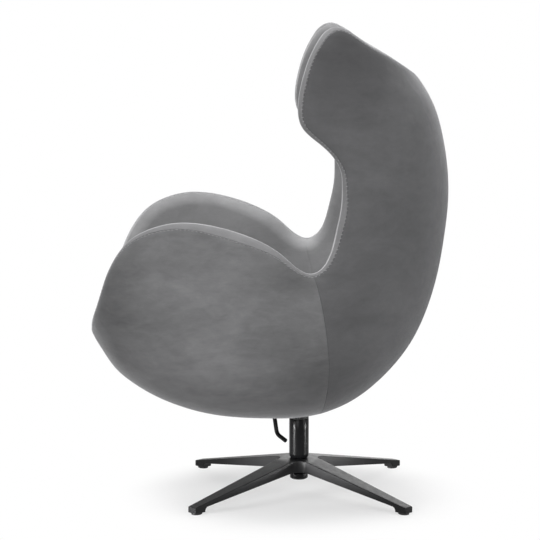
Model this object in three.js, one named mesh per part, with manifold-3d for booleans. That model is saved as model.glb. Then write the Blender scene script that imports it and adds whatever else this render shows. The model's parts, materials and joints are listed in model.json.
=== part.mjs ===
// Swivelling wing-backed lounge chair on a four-legged base with a gas lift.
// Millimetres, +Z up. The chair faces -Y, and +X is the sitter's left, the side of the lift lever.
// While it is built, the lift column stands on the Z axis. At the end the whole chair is moved
// so that the origin lies on the floor under the centre of its bounding box.

import * as THREE from 'three';
import { mergeVertices } from 'three/addons/utils/BufferGeometryUtils.js';
import Module from 'manifold-3d';

const wasm = await Module();
wasm.setup();

// Driving sizes of the upholstered shell, measured on its middle surface
const shellTop = 1110;
const shellBottom = 203;
const shellHalfWidth = 348;
const lipReach = 478;
const backReach = 337;
const shellBackHalfWidth = 290;
const narrowingStart = 330;
const narrowingEnd = 620;
const heartBehindLip = 418;
const heartRise = 437;

// Build-up of the shell from outside to inside
const fitGap = 0.3;
const coverThickness = 8;
const coreThickness = 10;
const linerThickness = 25;
const backPaddingThickness = 55;
const backPaddingLength = 220;
const rimRoundingRadius = 30;
const rimCoreCoverWidth = 30;
const coreEdgeGap = 1;
const rimBandWidth = 17;
const rimBandPinchWidth = 8;
const pinchTurnShare = 0.06;

// Seat deck and cushion
const plateStandHeight = 41.7;
const deckThickness = 18;
const cushionHeight = 112;
const cushionCrownHeight = 26;
const cushionSideGap = 3;
const cushionPullInDepth = 11;
const cushionEdgeRadius = 24;

// Four-legged base
const legCount = 4;
const legTipRadius = 352;
const legHubWidth = 50;
const legTipWidth = 25.5;
const legHubHeight = 28;
const legTipHeight = 10.5;
const hubTop = 80;
const hubRadius = 48;
const footLength = 30;
const footHeight = 14;
const footRiseLength = 10;
const glideThickness = 4.5;
const glideInsetLength = 16;
const glideRadius = 11;
const glideStemRadius = 3.5;
const glideStemLength = 8;

// Lift column, which is fixed in the hub
const columnRadius = 23.5;
const columnWall = 2.5;
const collarClearance = 1;
const bossRadius = 21.5;
const bossNeckRadius = 19;
const bossHeight = 15;
const bossNeckHeight = 8;
const bossFloorThickness = 4;
const collarHeight = 10;
const collarLipHeight = 3.5;
const bushLength = 70;

// Gas spring inside the column
const liftTravelLength = 80;
const cylinderRadius = 14;
const cylinderWall = 2.5;
const cylinderFootClearance = 14.4;
const cylinderProudHeight = 12.3;
const rodRadius = 5;
const pistonEndClearance = 10;
const pistonHeight = 12;
const runningGap = 0.3;
const bearingHeight = 7;
const bearingRadius = 13;
const clipRadius = 8;
const clipHeight = 3;
const rodFootLength = 4;
const valveRadius = 4;
const valveProudHeight = 8;
const valveTravelLength = 3.5;

// Plate under the deck that holds the gas spring's upper end
const plateThickness = 3;
const plateLength = 100;
const channelHalfWidth = 46;
const flangeWidth = 50;
const channelDepth = 42;
const socketWall = 5;
const socketHeight = 44;
const boltRadius = 3;
const boltHeadRadius = 6.5;
const boltHeadHeight = 5;
const boltLength = 16;

// Lever that works the valve
const leverRadius = 5;
const leverArmLength = 25;
const leverTipLength = 1;
const leverShaftLength = 62;
const leverBearingThickness = 6;
const leverBearingWidth = 22;
const leverSlotLeadLength = 12;
const leverSlotLength = 40;
const leverSlotWidth = 17;
const leverExitReach = 56;
const leverExitSide = 60;
const leverExitDrop = 77.3;
const leverElbowReach = 70;
const leverElbowSide = 53;
const leverElbowDrop = 123.3;
const leverEndReach = 92;
const leverEndSide = 32;
const leverEndDrop = 135.3;
const leverExitDriftLength = 6;
const columnHoleRadius = 20;
const holeOverrunLength = 30;

// Mesh densities
const roundSteps = 20;
const smallRoundSteps = 12;
const surfaceSamples = 60;
const rimChainSteps = 240;
const curveSamples = 600;
const probeStep = 0.5;
const weldDistance = 0.001;
const rodSides = 10;
const bendSteps = 4;
const roundedTipShare = 0.45;

// Rim of the shell seen from the side, from the middle of the front lip, along the arm, up the
// wing and over to the middle of the back: shares of the depth from lip to back, and of the rise
const rimShares = [
  [0, 0.219],
  [0.002, 0.228],
  [0.006, 0.244],
  [0.009, 0.262],
  [0.02, 0.298],
  [0.036, 0.342],
  [0.054, 0.391],
  [0.09, 0.454],
  [0.124, 0.488],
  [0.18, 0.516],
  [0.236, 0.529],
  [0.366, 0.519],
  [0.45, 0.494],
  [0.533, 0.451],
  [0.585, 0.412],
  [0.616, 0.4035],
  [0.645, 0.417],
  [0.667, 0.449],
  [0.682, 0.497],
  [0.698, 0.573],
  [0.699, 0.611],
  [0.696, 0.647],
  [0.674, 0.686],
  [0.625, 0.727],
  [0.588, 0.761],
  [0.578, 0.813],
  [0.587, 0.864],
  [0.604, 0.916],
  [0.633, 0.968],
  [0.653, 0.99],
  [0.677, 1],
  [0.739, 0.976],
  [0.793, 0.944],
  [0.851, 0.912],
  [0.881, 0.892],
  [0.894, 0.882],
  [0.904, 0.87],
];
const neckRow = 15;

// Keel of the shell, where it crosses the middle plane, from the lip under the seat and up the back,
// in the same shares
const keelShares = [
  [0, 0.219],
  [0.026, 0.18],
  [0.068, 0.137],
  [0.12, 0.098],
  [0.188, 0.06],
  [0.278, 0.027],
  [0.39, 0.004],
  [0.513, -0.003],
  [0.612, 0.002],
  [0.7, 0.028],
  [0.763, 0.063],
  [0.815, 0.102],
  [0.863, 0.15],
  [0.907, 0.211],
  [0.942, 0.286],
  [0.971, 0.38],
  [0.988, 0.478],
  [0.995, 0.567],
  [0.989, 0.655],
  [0.974, 0.73],
  [0.952, 0.795],
  [0.928, 0.838],
  [0.904, 0.87],
];

// Outline that would close the shell's full body from the top of the back over to the lip, in the
// same shares. The rim cuts this side away.
const closingShares = [
  [0.862, 0.927],
  [0.79, 1.017],
  [0.68, 1.105],
  [0.513, 1.15],
  [0.32, 1.12],
  [0.16, 1.01],
  [0.055, 0.84],
  [-0.004, 0.66],
  [-0.029, 0.493],
  [-0.031, 0.372],
  [-0.02, 0.289],
];

// Cross sections of the full body are rounded boxes: the powers of the side view and of the width,
// where the body is roundest, and what is added towards the lip and towards the top
const roundPowers = [2.7, 2.2];
const lipPowers = [3.3, 0.8];
const topPowers = [2.3, 0.6];
const lipFacing = (190 * Math.PI) / 180;
const topFacing = (90 * Math.PI) / 180;
const powerFocus = 4;

// How far along the keel a rib starts for its place in the order of ribs
const keelPaceShares = [
  [0, 0],
  [0.25, 0.19],
  [0.5, 0.39],
  [0.65, 0.69],
  [0.82, 0.885],
  [1, 1],
];

// Sections across the rim, as turns from the lip to the back, and the one where two panels meet
const rayTurnShares = [
  0, 0.05, 0.1, 0.145, 0.19, 0.24, 0.29, 0.345, 0.4, 0.45, 0.48, 0.5, 0.52, 0.55, 0.6, 0.64, 0.68, 0.72,
  0.76, 0.795, 0.82, 0.85, 0.9, 0.95, 1,
];
const seamTurnShare = 0.5;
const splitTurnShare = 0.7;

// Rings of points across a shell layer, as shares of the way down to the seat deck and from there
// to the middle, and across the rounded rim, as shares of the band's width and of the rounding
const wallRingShares = [0.12, 0.25, 0.38, 0.52, 0.66, 0.8, 0.9, 1];
const bottomRingShares = [0, 0.35, 0.7];
const bandRingShares = [0, 0.15, 0.45, 1];
const rimRingShares = [0, 0.1, 0.3, 0.6];

// Sections of the seat cushion from its underside to its crown: share of the half size, then
// shares of the height and of the crown, where a cushion's side is drawn in at mid height
const cushionRings = [
  { size: 0.5, lift: 0, crown: 0, edge: 0, pull: 0 },
  { size: 1, lift: 0, crown: 0, edge: 1, pull: 0 },
  { size: 1, lift: 0.12, crown: 0, edge: 0.25, pull: 0 },
  { size: 1, lift: 0.26, crown: 0, edge: 0, pull: 0 },
  { size: 1, lift: 0.46, crown: 0, edge: 0, pull: 1 },
  { size: 1, lift: 0.68, crown: 0, edge: 0, pull: 0 },
  { size: 1, lift: 0.86, crown: 0, edge: 0.25, pull: 0 },
  { size: 1, lift: 1, crown: 0.08, edge: 1, pull: 0 },
  { size: 0.8, lift: 1, crown: 0.5, edge: 0.6, pull: 0 },
  { size: 0.55, lift: 1, crown: 0.8, edge: 0.3, pull: 0 },
  { size: 0.28, lift: 1, crown: 0.96, edge: 0, pull: 0 },
];

const fabricMaterial = () => new THREE.MeshStandardMaterial({ color: 0x6b6b6b, roughness: 0.95, metalness: 0 });
const bandMaterial = () => new THREE.MeshStandardMaterial({ color: 0x7d7d7d, roughness: 0.95, metalness: 0 });
const coreMaterial = () => new THREE.MeshStandardMaterial({ color: 0x3a3a3c, roughness: 0.6, metalness: 0 });
const woodMaterial = () => new THREE.MeshStandardMaterial({ color: 0xb08a5a, roughness: 0.7, metalness: 0 });
const blackMetal = () => new THREE.MeshStandardMaterial({ color: 0x151516, roughness: 0.45, metalness: 0.6 });
const steelMaterial = () => new THREE.MeshStandardMaterial({ color: 0xa9abad, roughness: 0.35, metalness: 0.9 });
const plasticMaterial = () => new THREE.MeshStandardMaterial({ color: 0x1c1c1d, roughness: 0.55, metalness: 0 });

const shellDepth = lipReach + backReach;
const shellRise = shellTop - shellBottom;
const outerOffset = coreThickness / 2 + fitGap + coverThickness;
const innerOffset = coreThickness / 2 + fitGap + linerThickness;

// Heights that follow from the shell's bottom, upwards through the plate to the deck and down to
// the column's top
const keelDip = Math.min(...keelShares.map(([, rise]) => rise)) * shellRise;
const plateUnderside = shellBottom + coreThickness / 2 + plateStandHeight;
const deckHeight = plateUnderside + channelDepth + fitGap;
const columnTop = shellBottom + keelDip - outerOffset - collarClearance - collarHeight;

// Heights that follow from the hub, down to the boss that closes the column
const bossBottom = hubTop - legHubHeight - bossNeckHeight - bossHeight;
const rodBottom = bossBottom + bossFloorThickness + rodFootLength;
const clipBottom = rodBottom + fitGap;
const bearingBottom = clipBottom + clipHeight + fitGap;
const cylinderBottom = bearingBottom + bearingHeight + cylinderFootClearance;
const cylinderTop = plateUnderside + cylinderProudHeight;

// Smooth curves through rows of numbers: a natural cubic spline over the given knots
function smoothRows(rows, knots) {
  const last = rows.length - 1;
  const bends = rows.map((row) => row.map(() => 0));
  rows[0].forEach((_, part) => {
    const slopes = rows.map(() => 0);
    const weights = rows.map(() => 0);
    for (let i = 1; i < last; i += 1) {
      const before = knots[i] - knots[i - 1];
      const after = knots[i + 1] - knots[i];
      const pull = (rows[i + 1][part] - rows[i][part]) / after - (rows[i][part] - rows[i - 1][part]) / before;
      const scale = 2 * (before + after) - before * weights[i - 1];
      weights[i] = after / scale;
      slopes[i] = (6 * pull - before * slopes[i - 1]) / scale;
    }
    for (let i = last - 1; i > 0; i -= 1) {
      bends[i][part] = slopes[i] - weights[i] * bends[i + 1][part];
    }
  });
  return (at) => {
    let i = 0;
    while (i < last - 1 && knots[i + 1] < at) {
      i += 1;
    }
    const span = knots[i + 1] - knots[i];
    const toEnd = (knots[i + 1] - at) / span;
    const toStart = 1 - toEnd;
    return rows[i].map((value, part) => toEnd * value + toStart * rows[i + 1][part]
      + ((toEnd ** 3 - toEnd) * bends[i][part] + (toStart ** 3 - toStart) * bends[i + 1][part]) * span ** 2 / 6);
  };
}

// Running length of a chain of points, as knots for smoothRows
function chordKnots(rows) {
  const knots = [0];
  for (let i = 1; i < rows.length; i += 1) {
    knots.push(knots[i - 1] + Math.hypot(...rows[i].map((value, part) => value - rows[i - 1][part])));
  }
  return knots;
}

const smoothStep = (low, high, value) => THREE.MathUtils.smoothstep(value, low, high);

// Moves a 0 to 1 share along so that a half reaches the given share
const paced = (share, halfShare) => share + (halfShare - 0.5) * 4 * share * (1 - share);

// Value in one list that stands where another, rising list passes a given value
function lookUp(rising, at, values) {
  let low = 0;
  let high = rising.length - 1;
  while (high - low > 1) {
    const middle = Math.floor((low + high) / 2);
    if (rising[middle] < at) {
      low = middle;
    } else {
      high = middle;
    }
  }
  return THREE.MathUtils.mapLinear(at, rising[low], rising[high], values[low], values[high]);
}

const inSideView = ([y, z]) => [y * shellDepth - lipReach, z * shellRise + shellBottom];
const heartY = heartBehindLip - lipReach;
const heartZ = heartRise + shellBottom;

// Outline of the full body seen from the side, as a radius round its heart
function makeOutline() {
  const arms = [...keelShares, ...closingShares].map(inSideView).map(([y, z]) => [y - heartY, z - heartZ]);
  const angles = arms.map(([y, z]) => Math.atan2(z, y));
  for (let i = 1; i < angles.length; i += 1) {
    while (angles[i] < angles[i - 1]) {
      angles[i] += 2 * Math.PI;
    }
  }
  const radii = arms.map(([y, z]) => [Math.hypot(y, z)]);
  const lapped = (list, shift) => [
    ...list.slice(-3).map((value) => shift(value, -1)), ...list, ...list.slice(0, 3).map((value) => shift(value, 1)),
  ];
  const knots = lapped(angles, (angle, laps) => angle + laps * 2 * Math.PI);
  const radius = smoothRows(lapped(radii, (row) => row), knots);
  const lipAngle = angles[0];
  return {
    lipAngle,
    topAngle: angles[keelShares.length - 1],
    radiusAt: (angle) => radius(lipAngle + THREE.MathUtils.euclideanModulo(angle - lipAngle, 2 * Math.PI))[0],
  };
}

const outline = makeOutline();

// Powers of the rounded cross section in a direction round the heart
function powersAt(angle) {
  const towards = (facing) => ((1 + Math.cos(angle - facing)) / 2) ** powerFocus;
  return roundPowers.map((power, i) => power + lipPowers[i] * towards(lipFacing) + topPowers[i] * towards(topFacing));
}

// Half width of the full body beside its heart: it narrows from the arms up to the wings and back
function fullHalfWidth(y, z) {
  const narrowing = smoothStep(narrowingStart, narrowingEnd, (y + z) * Math.SQRT1_2);
  return THREE.MathUtils.lerp(shellHalfWidth, shellBackHalfWidth, narrowing);
}

// What is left of the full body's width at a place in the side view, as a share raised to a power
function sideView(y, z) {
  const angle = Math.atan2(z - heartZ, y - heartY);
  const [sidePower, widthPower] = powersAt(angle);
  const share = Math.hypot(y - heartY, z - heartZ) / outline.radiusAt(angle);
  return { left: 1 - share ** sidePower, widthPower, full: fullHalfWidth(y, z) };
}

function halfWidthAt(y, z) {
  const { left, widthPower, full } = sideView(y, z);
  return full * Math.max(left, 0) ** (1 / widthPower);
}

// Rises through zero on the middle surface of the shell, from inside to outside
function bodyField(x, y, z) {
  const { left, widthPower, full } = sideView(y, z);
  return (Math.abs(x) / full) ** widthPower - left;
}

// Outward normal of the middle surface at a point on it
function normalAt({ x, y, z }) {
  const slope = (dx, dy, dz) => bodyField(x + dx, y + dy, z + dz) - bodyField(x - dx, y - dy, z - dz);
  return new THREE.Vector3(slope(probeStep, 0, 0), slope(0, probeStep, 0), slope(0, 0, probeStep)).normalize();
}

// Rim curve of the left half by its share of running length, with the neck at a half
function makeRimCurve() {
  const rows = rimShares.map(inSideView);
  const knots = chordKnots(rows);
  const curve = smoothRows(rows, knots);
  const last = knots[rows.length - 1];
  const pointAt = (run) => {
    const [y, z] = curve(run);
    const isEnd = run <= 0 || run >= last;
    return new THREE.Vector3(isEnd ? 0 : halfWidthAt(y, z), y, z);
  };
  const runs = Array.from({ length: curveSamples + 1 }, (_, i) => last * smoothStep(0, 1, i / curveSamples));
  const lengths = chordKnots(runs.map((run) => pointAt(run).toArray()));
  const length = lengths[curveSamples];
  const neckShare = lookUp(runs, knots[neckRow], lengths) / length;
  return (turn) => pointAt(lookUp(lengths, length * paced(turn, neckShare), runs));
}

// Keel curve in the middle plane, by the order of the ribs that start on it
function makeKeelCurve() {
  const pointAt = (angle) => {
    const radius = outline.radiusAt(angle);
    return new THREE.Vector3(0, heartY + radius * Math.cos(angle), heartZ + radius * Math.sin(angle));
  };
  const { lipAngle, topAngle } = outline;
  const angles = Array.from(
    { length: curveSamples + 1 },
    (_, i) => lipAngle + ((topAngle - lipAngle) * i) / curveSamples,
  );
  const lengths = chordKnots(angles.map((angle) => pointAt(angle).toArray()));
  const pace = smoothRows(keelPaceShares.map(([, along]) => [along]), keelPaceShares.map(([order]) => order));
  return (order) => pointAt(lookUp(lengths, lengths[curveSamples] * pace(order)[0], angles));
}

const rimAt = makeRimCurve();
const keelAt = makeKeelCurve();

// Point of the shell's middle surface on a unit disc: x to the sitter's left, y from lip to back.
// Seen from the side, a rib at constant y runs straight from the keel to the rim.
function shellPoint(x, y) {
  const along = THREE.MathUtils.clamp(y, -1, 1);
  const halfChord = Math.sqrt(Math.max(1 - along * along, 1e-12));
  const reach = Math.min(Math.abs(x) / halfChord, 1);
  const keel = keelAt((1 + along) / 2);
  const rim = rimAt(Math.acos(-along) / Math.PI);
  const point = keel.lerp(rim, 1 - Math.cos((reach * Math.PI) / 2));
  return point.setX(reach > 0 ? Math.sign(x) * halfWidthAt(point.y, point.z) : 0);
}

const polarPoint = (share, angle) => shellPoint(share * Math.sin(angle), -share * Math.cos(angle));

// The whole rim as a closed chain of short straight lines
const rimChain = Array.from({ length: rimChainSteps + 1 }, (_, i) => {
  const turn = Math.abs((2 * i) / rimChainSteps - 1);
  const point = rimAt(turn);
  return point.setX(i < rimChainSteps / 2 ? -point.x : point.x);
});

// Shortest distance from a point to the rim
function distanceToRim(point) {
  const line = new THREE.Line3();
  const nearest = new THREE.Vector3();
  let least = Infinity;
  for (let i = 0; i < rimChainSteps; i += 1) {
    line.set(rimChain[i], rimChain[i + 1]).closestPointToPoint(point, true, nearest);
    least = Math.min(least, nearest.distanceTo(point));
  }
  return least;
}

// One section of the shell from the rim to the middle of its bottom: running lengths from the rim,
// and the distances to the rim at the same points
function makeRay(angle) {
  const lengths = [0];
  const gaps = [0];
  let before = polarPoint(1, angle);
  for (let i = 1; i <= surfaceSamples; i += 1) {
    const next = polarPoint(1 - i / surfaceSamples, angle);
    lengths.push(lengths[i - 1] + next.distanceTo(before));
    gaps.push(distanceToRim(next));
    before = next;
  }
  return { angle, lengths, gaps, length: lengths[surfaceSamples], turn: Math.abs(angle) / Math.PI };
}

const shareSteps = Array.from({ length: surfaceSamples + 1 }, (_, i) => 1 - i / surfaceSamples);
const shareAlong = (ray, run) => THREE.MathUtils.clamp(lookUp(ray.lengths, run, shareSteps), 0, 1);
const runAtGap = (ray, gap) => lookUp(ray.gaps, gap, ray.lengths);

// Point of a layer: a running length along the ray, and an offset outwards
function layerPoint(ray, run, offset) {
  const point = polarPoint(shareAlong(ray, run), ray.angle);
  return point.addScaledVector(normalAt(point), offset);
}

// Rounding of the rim: 0 at its crest to 1 where the shell has its full thickness
function rimProfile(ray, run) {
  const left = Math.max(1 - lookUp(ray.lengths, run, ray.gaps) / rimRoundingRadius, 0);
  return Math.sqrt(1 - left * left);
}

const outerFace = (ray, run) => outerOffset * rimProfile(ray, run);

// Padding is thickest where the shell faces backwards, behind the sitter
function innerFace(ray, run) {
  const facing = normalAt(polarPoint(shareAlong(ray, run), ray.angle)).y;
  const gap = lookUp(ray.lengths, run, ray.gaps);
  const extra = backPaddingThickness * smoothStep(0, 1, facing) * smoothStep(0, backPaddingLength, gap);
  return -(innerOffset + extra) * rimProfile(ray, run);
}

// Running width of the band on the outside of the rim, which narrows at the neck
function bandRun(ray) {
  const pinch = 1 - smoothStep(0, pinchTurnShare, Math.abs(ray.turn - seamTurnShare));
  return runAtGap(ray, rimBandWidth - (rimBandWidth - rimBandPinchWidth) * pinch);
}

const leftRays = rayTurnShares.map((turn) => makeRay(turn * Math.PI));
const rightRays = rayTurnShares.slice(1, -1).map((turn) => makeRay(-turn * Math.PI)).reverse();
const allRays = [...leftRays, ...rightRays];
const frontRays = [
  ...rightRays.filter((ray) => ray.turn <= seamTurnShare),
  ...leftRays.filter((ray) => ray.turn <= seamTurnShare),
];
const backRays = [
  ...leftRays.filter((ray) => ray.turn >= seamTurnShare),
  ...rightRays.filter((ray) => ray.turn >= seamTurnShare),
];

// Whether the faces from a ray to the next one are split the other way round: on the right half,
// the mirror image of the left one, and the reverse of that above the wings
const splitsTurned = (rays) => (i) => {
  const next = rays[(i + 1) % rays.length];
  const isRight = rays[i].angle < 0 || next.angle < 0;
  const isAbove = Math.min(rays[i].turn, next.turn) >= splitTurnShare;
  return isRight !== isAbove;
};

// Six times the volume inside a closed set of triangles, negative if they face inwards
function signedVolume(corners, positions) {
  const [a, b, c] = [new THREE.Vector3(), new THREE.Vector3(), new THREE.Vector3()];
  let sum = 0;
  for (let i = 0; i < corners.length; i += 3) {
    a.fromBufferAttribute(positions, corners[i]);
    b.fromBufferAttribute(positions, corners[i + 1]);
    c.fromBufferAttribute(positions, corners[i + 2]);
    sum += a.dot(b.cross(c));
  }
  return sum;
}

// Closed geometry from shared corner points, facing outwards, without the triangles that
// shrink to a line
function closedGeometry(positions, triangles) {
  const loose = new THREE.BufferGeometry();
  loose.setAttribute('position', new THREE.Float32BufferAttribute(positions, 3));
  loose.setIndex(triangles);
  const merged = mergeVertices(loose, weldDistance);
  const corners = merged.getIndex().array;
  const kept = [];
  for (let i = 0; i < corners.length; i += 3) {
    const [a, b, c] = [corners[i], corners[i + 1], corners[i + 2]];
    if (a !== b && b !== c && c !== a) {
      kept.push(a, b, c);
    }
  }
  merged.setIndex(signedVolume(kept, merged.getAttribute('position')) < 0 ? kept.reverse() : kept);
  merged.computeVertexNormals();
  return merged;
}

// Solid through closed sections with as many points each. A ring of sections closes on itself,
// and an open row gets a flat strip of faces at each end. Faces that start at an outer point are
// split along one diagonal and the others along the other, so that the facing sides of two
// neighbouring layers are split alike. Where a strip is turned it is the other way round.
function loftGeometry(sections, isRing, isOuter = () => true, isTurned = () => false) {
  const size = sections[0].length;
  const positions = sections.flatMap((section) => section.flatMap((point) => point.toArray()));
  const triangles = [];
  const steps = isRing ? sections.length : sections.length - 1;
  for (let i = 0; i < steps; i += 1) {
    const next = (i + 1) % sections.length;
    for (let j = 0; j < size; j += 1) {
      const up = (j + 1) % size;
      const [a, b, c, d] = [i * size + j, next * size + j, next * size + up, i * size + up];
      if (isOuter(j) !== isTurned(i)) {
        triangles.push(a, b, c, a, c, d);
      } else {
        triangles.push(a, b, d, b, c, d);
      }
    }
  }
  if (!isRing) {
    const last = (sections.length - 1) * size;
    for (let j = 0; j < size / 2 - 1; j += 1) {
      const across = size - 1 - j;
      triangles.push(j, j + 1, across, j + 1, across - 1, across);
      triangles.push(last + j, last + across, last + j + 1, last + j + 1, last + across, last + across - 1);
    }
  }
  return closedGeometry(positions, triangles);
}

// Solid of revolution about Z from points [radius, height], starting and ending on the axis
// or closed on itself
function turned(profile, steps = roundSteps) {
  const outline = profile.map(([radius, height]) => new THREE.Vector2(radius, height));
  const lathe = new THREE.LatheGeometry(outline, steps);
  lathe.deleteAttribute('normal');
  lathe.deleteAttribute('uv');
  lathe.rotateX(Math.PI / 2);
  const merged = mergeVertices(lathe, weldDistance);
  return closedGeometry([...merged.getAttribute('position').array], [...merged.getIndex().array]);
}

// Straight prism between two heights from an outline in X and Y
function prism(outline, bottom, top, holes = []) {
  const shape = new THREE.Shape(outline.map(([x, y]) => new THREE.Vector2(x, y)));
  shape.holes.push(...holes);
  const solid = new THREE.ExtrudeGeometry(shape, { depth: top - bottom, bevelEnabled: false, curveSegments: 8 });
  solid.translate(0, 0, bottom);
  return solid;
}

function toSolid(geometry) {
  const bare = geometry.clone();
  bare.deleteAttribute('normal');
  bare.deleteAttribute('uv');
  const merged = mergeVertices(bare, weldDistance);
  return new wasm.Manifold(new wasm.Mesh({
    numProp: 3,
    vertProperties: new Float32Array(merged.getAttribute('position').array),
    triVerts: new Uint32Array(merged.getIndex().array),
  }));
}

function fromSolid(solid) {
  const mesh = solid.getMesh();
  const geometry = new THREE.BufferGeometry();
  geometry.setAttribute('position', new THREE.Float32BufferAttribute(mesh.vertProperties, 3));
  geometry.setIndex([...mesh.triVerts]);
  geometry.computeVertexNormals();
  return geometry;
}

function cut(geometry, ...tools) {
  return fromSolid(tools.reduce((left, tool) => left.subtract(toSolid(tool)), toSolid(geometry)));
}

// Running length at which a layer's face comes down to a height, walking in from the rim
function runAtHeight(ray, offsetAt, height) {
  const scan = 3 * surfaceSamples;
  let above = 0;
  for (let i = 1; i <= scan; i += 1) {
    const run = (ray.length * i) / scan;
    if (layerPoint(ray, run, offsetAt(ray, run)).z < height) {
      break;
    }
    above = run;
  }
  let below = above + ray.length / scan;
  for (let i = 0; i < 12; i += 1) {
    const middle = (above + below) / 2;
    if (layerPoint(ray, middle, offsetAt(ray, middle)).z < height) {
      below = middle;
    } else {
      above = middle;
    }
  }
  return above;
}

const chair = new THREE.Group();
chair.name = 'chair';

function addPiece(name, geometry, material) {
  const mesh = new THREE.Mesh(geometry, material);
  mesh.name = name;
  chair.add(mesh);
  return mesh;
}

// Place of each moving piece's height for reuse by its neighbours
const deckTop = deckHeight + deckThickness;
const plateFloorTop = deckHeight - fitGap - channelDepth + plateThickness;
const leverShaftHeight = cylinderTop + valveProudHeight + fitGap + leverRadius;
const coreRun = (ray) => runAtGap(ray, rimCoreCoverWidth);
const coreFace = () => -coreThickness / 2 - fitGap;

// Running lengths of the rings between the rim and the top of the deck
function wallRuns(ray) {
  const low = runAtHeight(ray, coreFace, deckTop + fitGap);
  return wallRingShares.map((share) => coreRun(ray) + share * (low - coreRun(ray)));
}

// Running lengths of all rings, one of them level with the underside of the deck
function ringRuns(ray) {
  const low = runAtHeight(ray, coreFace, deckHeight);
  return [...wallRuns(ray), ...bottomRingShares.map((share) => low + share * (ray.length - low))];
}

// Tools that open the shell's bottom for the column and the lever
function bottomOpenings() {
  const low = shellBottom - outerOffset - holeOverrunLength;
  const high = shellBottom + coreThickness + holeOverrunLength;
  const columnHole = turned([[0, low], [columnHoleRadius, low], [columnHoleRadius, high], [0, high]]);
  const slotStart = leverExitReach - leverSlotLeadLength;
  const near = -leverShaftLength - leverSlotWidth / 2;
  const far = -leverShaftLength + leverSlotWidth / 2 + leverExitDriftLength;
  const slot = prism([
    [slotStart, near], [slotStart + leverSlotLength, near], [slotStart + leverSlotLength, far], [slotStart, far],
  ], low, high);
  return [columnHole, slot];
}

// Outer cover: padded fabric from the rim's stitched seam to the bottom
function coverSection(ray) {
  const start = bandRun(ray) + fitGap;
  const core = coreRun(ray);
  const runs = ringRuns(ray);
  const inner = coreThickness / 2 + fitGap;
  const outside = [start, (start + core) / 2, core, ...runs, ray.length];
  return [
    ...outside.map((run) => layerPoint(ray, run, outerFace(ray, run))),
    ...[ray.length, ...runs.reverse(), core].map((run) => layerPoint(ray, run, inner)),
    layerPoint(ray, core, fitGap / 2),
    layerPoint(ray, start, fitGap / 2),
  ];
}

function makeCovers() {
  const outerCount = coverSection(allRays[0]).length / 2;
  const isOuter = (j) => j < outerCount;
  const front = loftGeometry(frontRays.map(coverSection), false, isOuter, splitsTurned(frontRays));
  front.translate(0, -fitGap / 2, 0);
  const back = loftGeometry(backRays.map(coverSection), false, isOuter, splitsTurned(backRays));
  back.translate(0, fitGap / 2, 0);
  addPiece('outer_cover_front', cut(front, ...bottomOpenings()), fabricMaterial());
  addPiece('outer_cover_back', back, fabricMaterial());
}

// Moulded shell between the cover and the padding
function coreSection(ray) {
  const edge = coreRun(ray) + coreEdgeGap;
  const runs = [edge, ...ringRuns(ray), ray.length];
  return [
    ...runs.map((run) => layerPoint(ray, run, coreThickness / 2)),
    ...runs.reverse().map((run) => layerPoint(ray, run, -coreThickness / 2)),
    layerPoint(ray, edge, 0),
  ];
}

function makeCore() {
  const sections = allRays.map(coreSection);
  const last = sections[0].length - 1;
  const isOuter = (j) => j < last / 2 || j === last;
  const core = loftGeometry(sections, true, isOuter, splitsTurned(allRays));
  addPiece('shell_core', cut(core, ...bottomOpenings()), coreMaterial());
}

// Padded band that rounds off the outside of the rim
function makeRimBand() {
  const sections = allRays.map((ray) => {
    const width = bandRun(ray);
    const runs = bandRingShares.map((share) => share * width);
    return [
      ...runs.map((run) => layerPoint(ray, run, Math.max(outerFace(ray, run), 1.5 * fitGap))),
      layerPoint(ray, width, fitGap / 2),
      layerPoint(ray, width / 2, fitGap / 2),
    ];
  });
  const isOuter = (j) => j < bandRingShares.length;
  addPiece('rim_band', loftGeometry(sections, true, isOuter, splitsTurned(allRays)), bandMaterial());
}

// Inner face of the padding along a ray, from the rim's crest down to the deck
function linerFace(ray) {
  const core = coreRun(ray);
  const rounded = rimRingShares.map((share) => share * core);
  return [
    ...rounded.map((run) => layerPoint(ray, run, Math.min(innerFace(ray, run), -1.5 * fitGap))),
    ...[core, ...wallRuns(ray)].map((run) => layerPoint(ray, run, innerFace(ray, run))),
  ];
}

// Padding and fabric inside the shell, from the rim's crest down to the deck
function makeLiner() {
  const sections = allRays.map((ray) => {
    const core = coreRun(ray);
    return [
      ...linerFace(ray),
      ...wallRuns(ray).reverse().map((run) => layerPoint(ray, run, coreFace())),
      layerPoint(ray, core, coreFace()),
      layerPoint(ray, core, -fitGap / 2),
      layerPoint(ray, bandRun(ray), -fitGap / 2),
      layerPoint(ray, bandRun(ray) / 2, -fitGap / 2),
    ];
  });
  const innerCount = linerFace(allRays[0]).length;
  const isInner = (j) => j < innerCount;
  addPiece('inner_liner', loftGeometry(sections, true, isInner, splitsTurned(allRays)), fabricMaterial());
}

// Point at a height on a chain of points that runs downwards
function pointAtHeight(chain, height) {
  const i = Math.max(chain.findIndex((point) => point.z < height), 1);
  const share = (chain[i - 1].z - height) / (chain[i - 1].z - chain[i].z);
  return chain[i - 1].clone().lerp(chain[i], share);
}

// Plywood seat deck, let into the core
function makeDeck() {
  const outline = allRays.map((ray) => {
    const point = layerPoint(ray, runAtHeight(ray, coreFace, deckHeight), coreFace());
    return [point.x, point.y];
  });
  const holes = boltPlaces().map(([x, y]) => turned([
    [0, deckHeight - holeOverrunLength], [boltRadius + fitGap, deckHeight - holeOverrunLength],
    [boltRadius + fitGap, deckHeight + boltLength], [0, deckHeight + boltLength],
  ], smallRoundSteps).translate(x, y, 0));
  addPiece('seat_deck', cut(prism(outline, deckHeight, deckTop), ...holes), woodMaterial());
}

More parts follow.
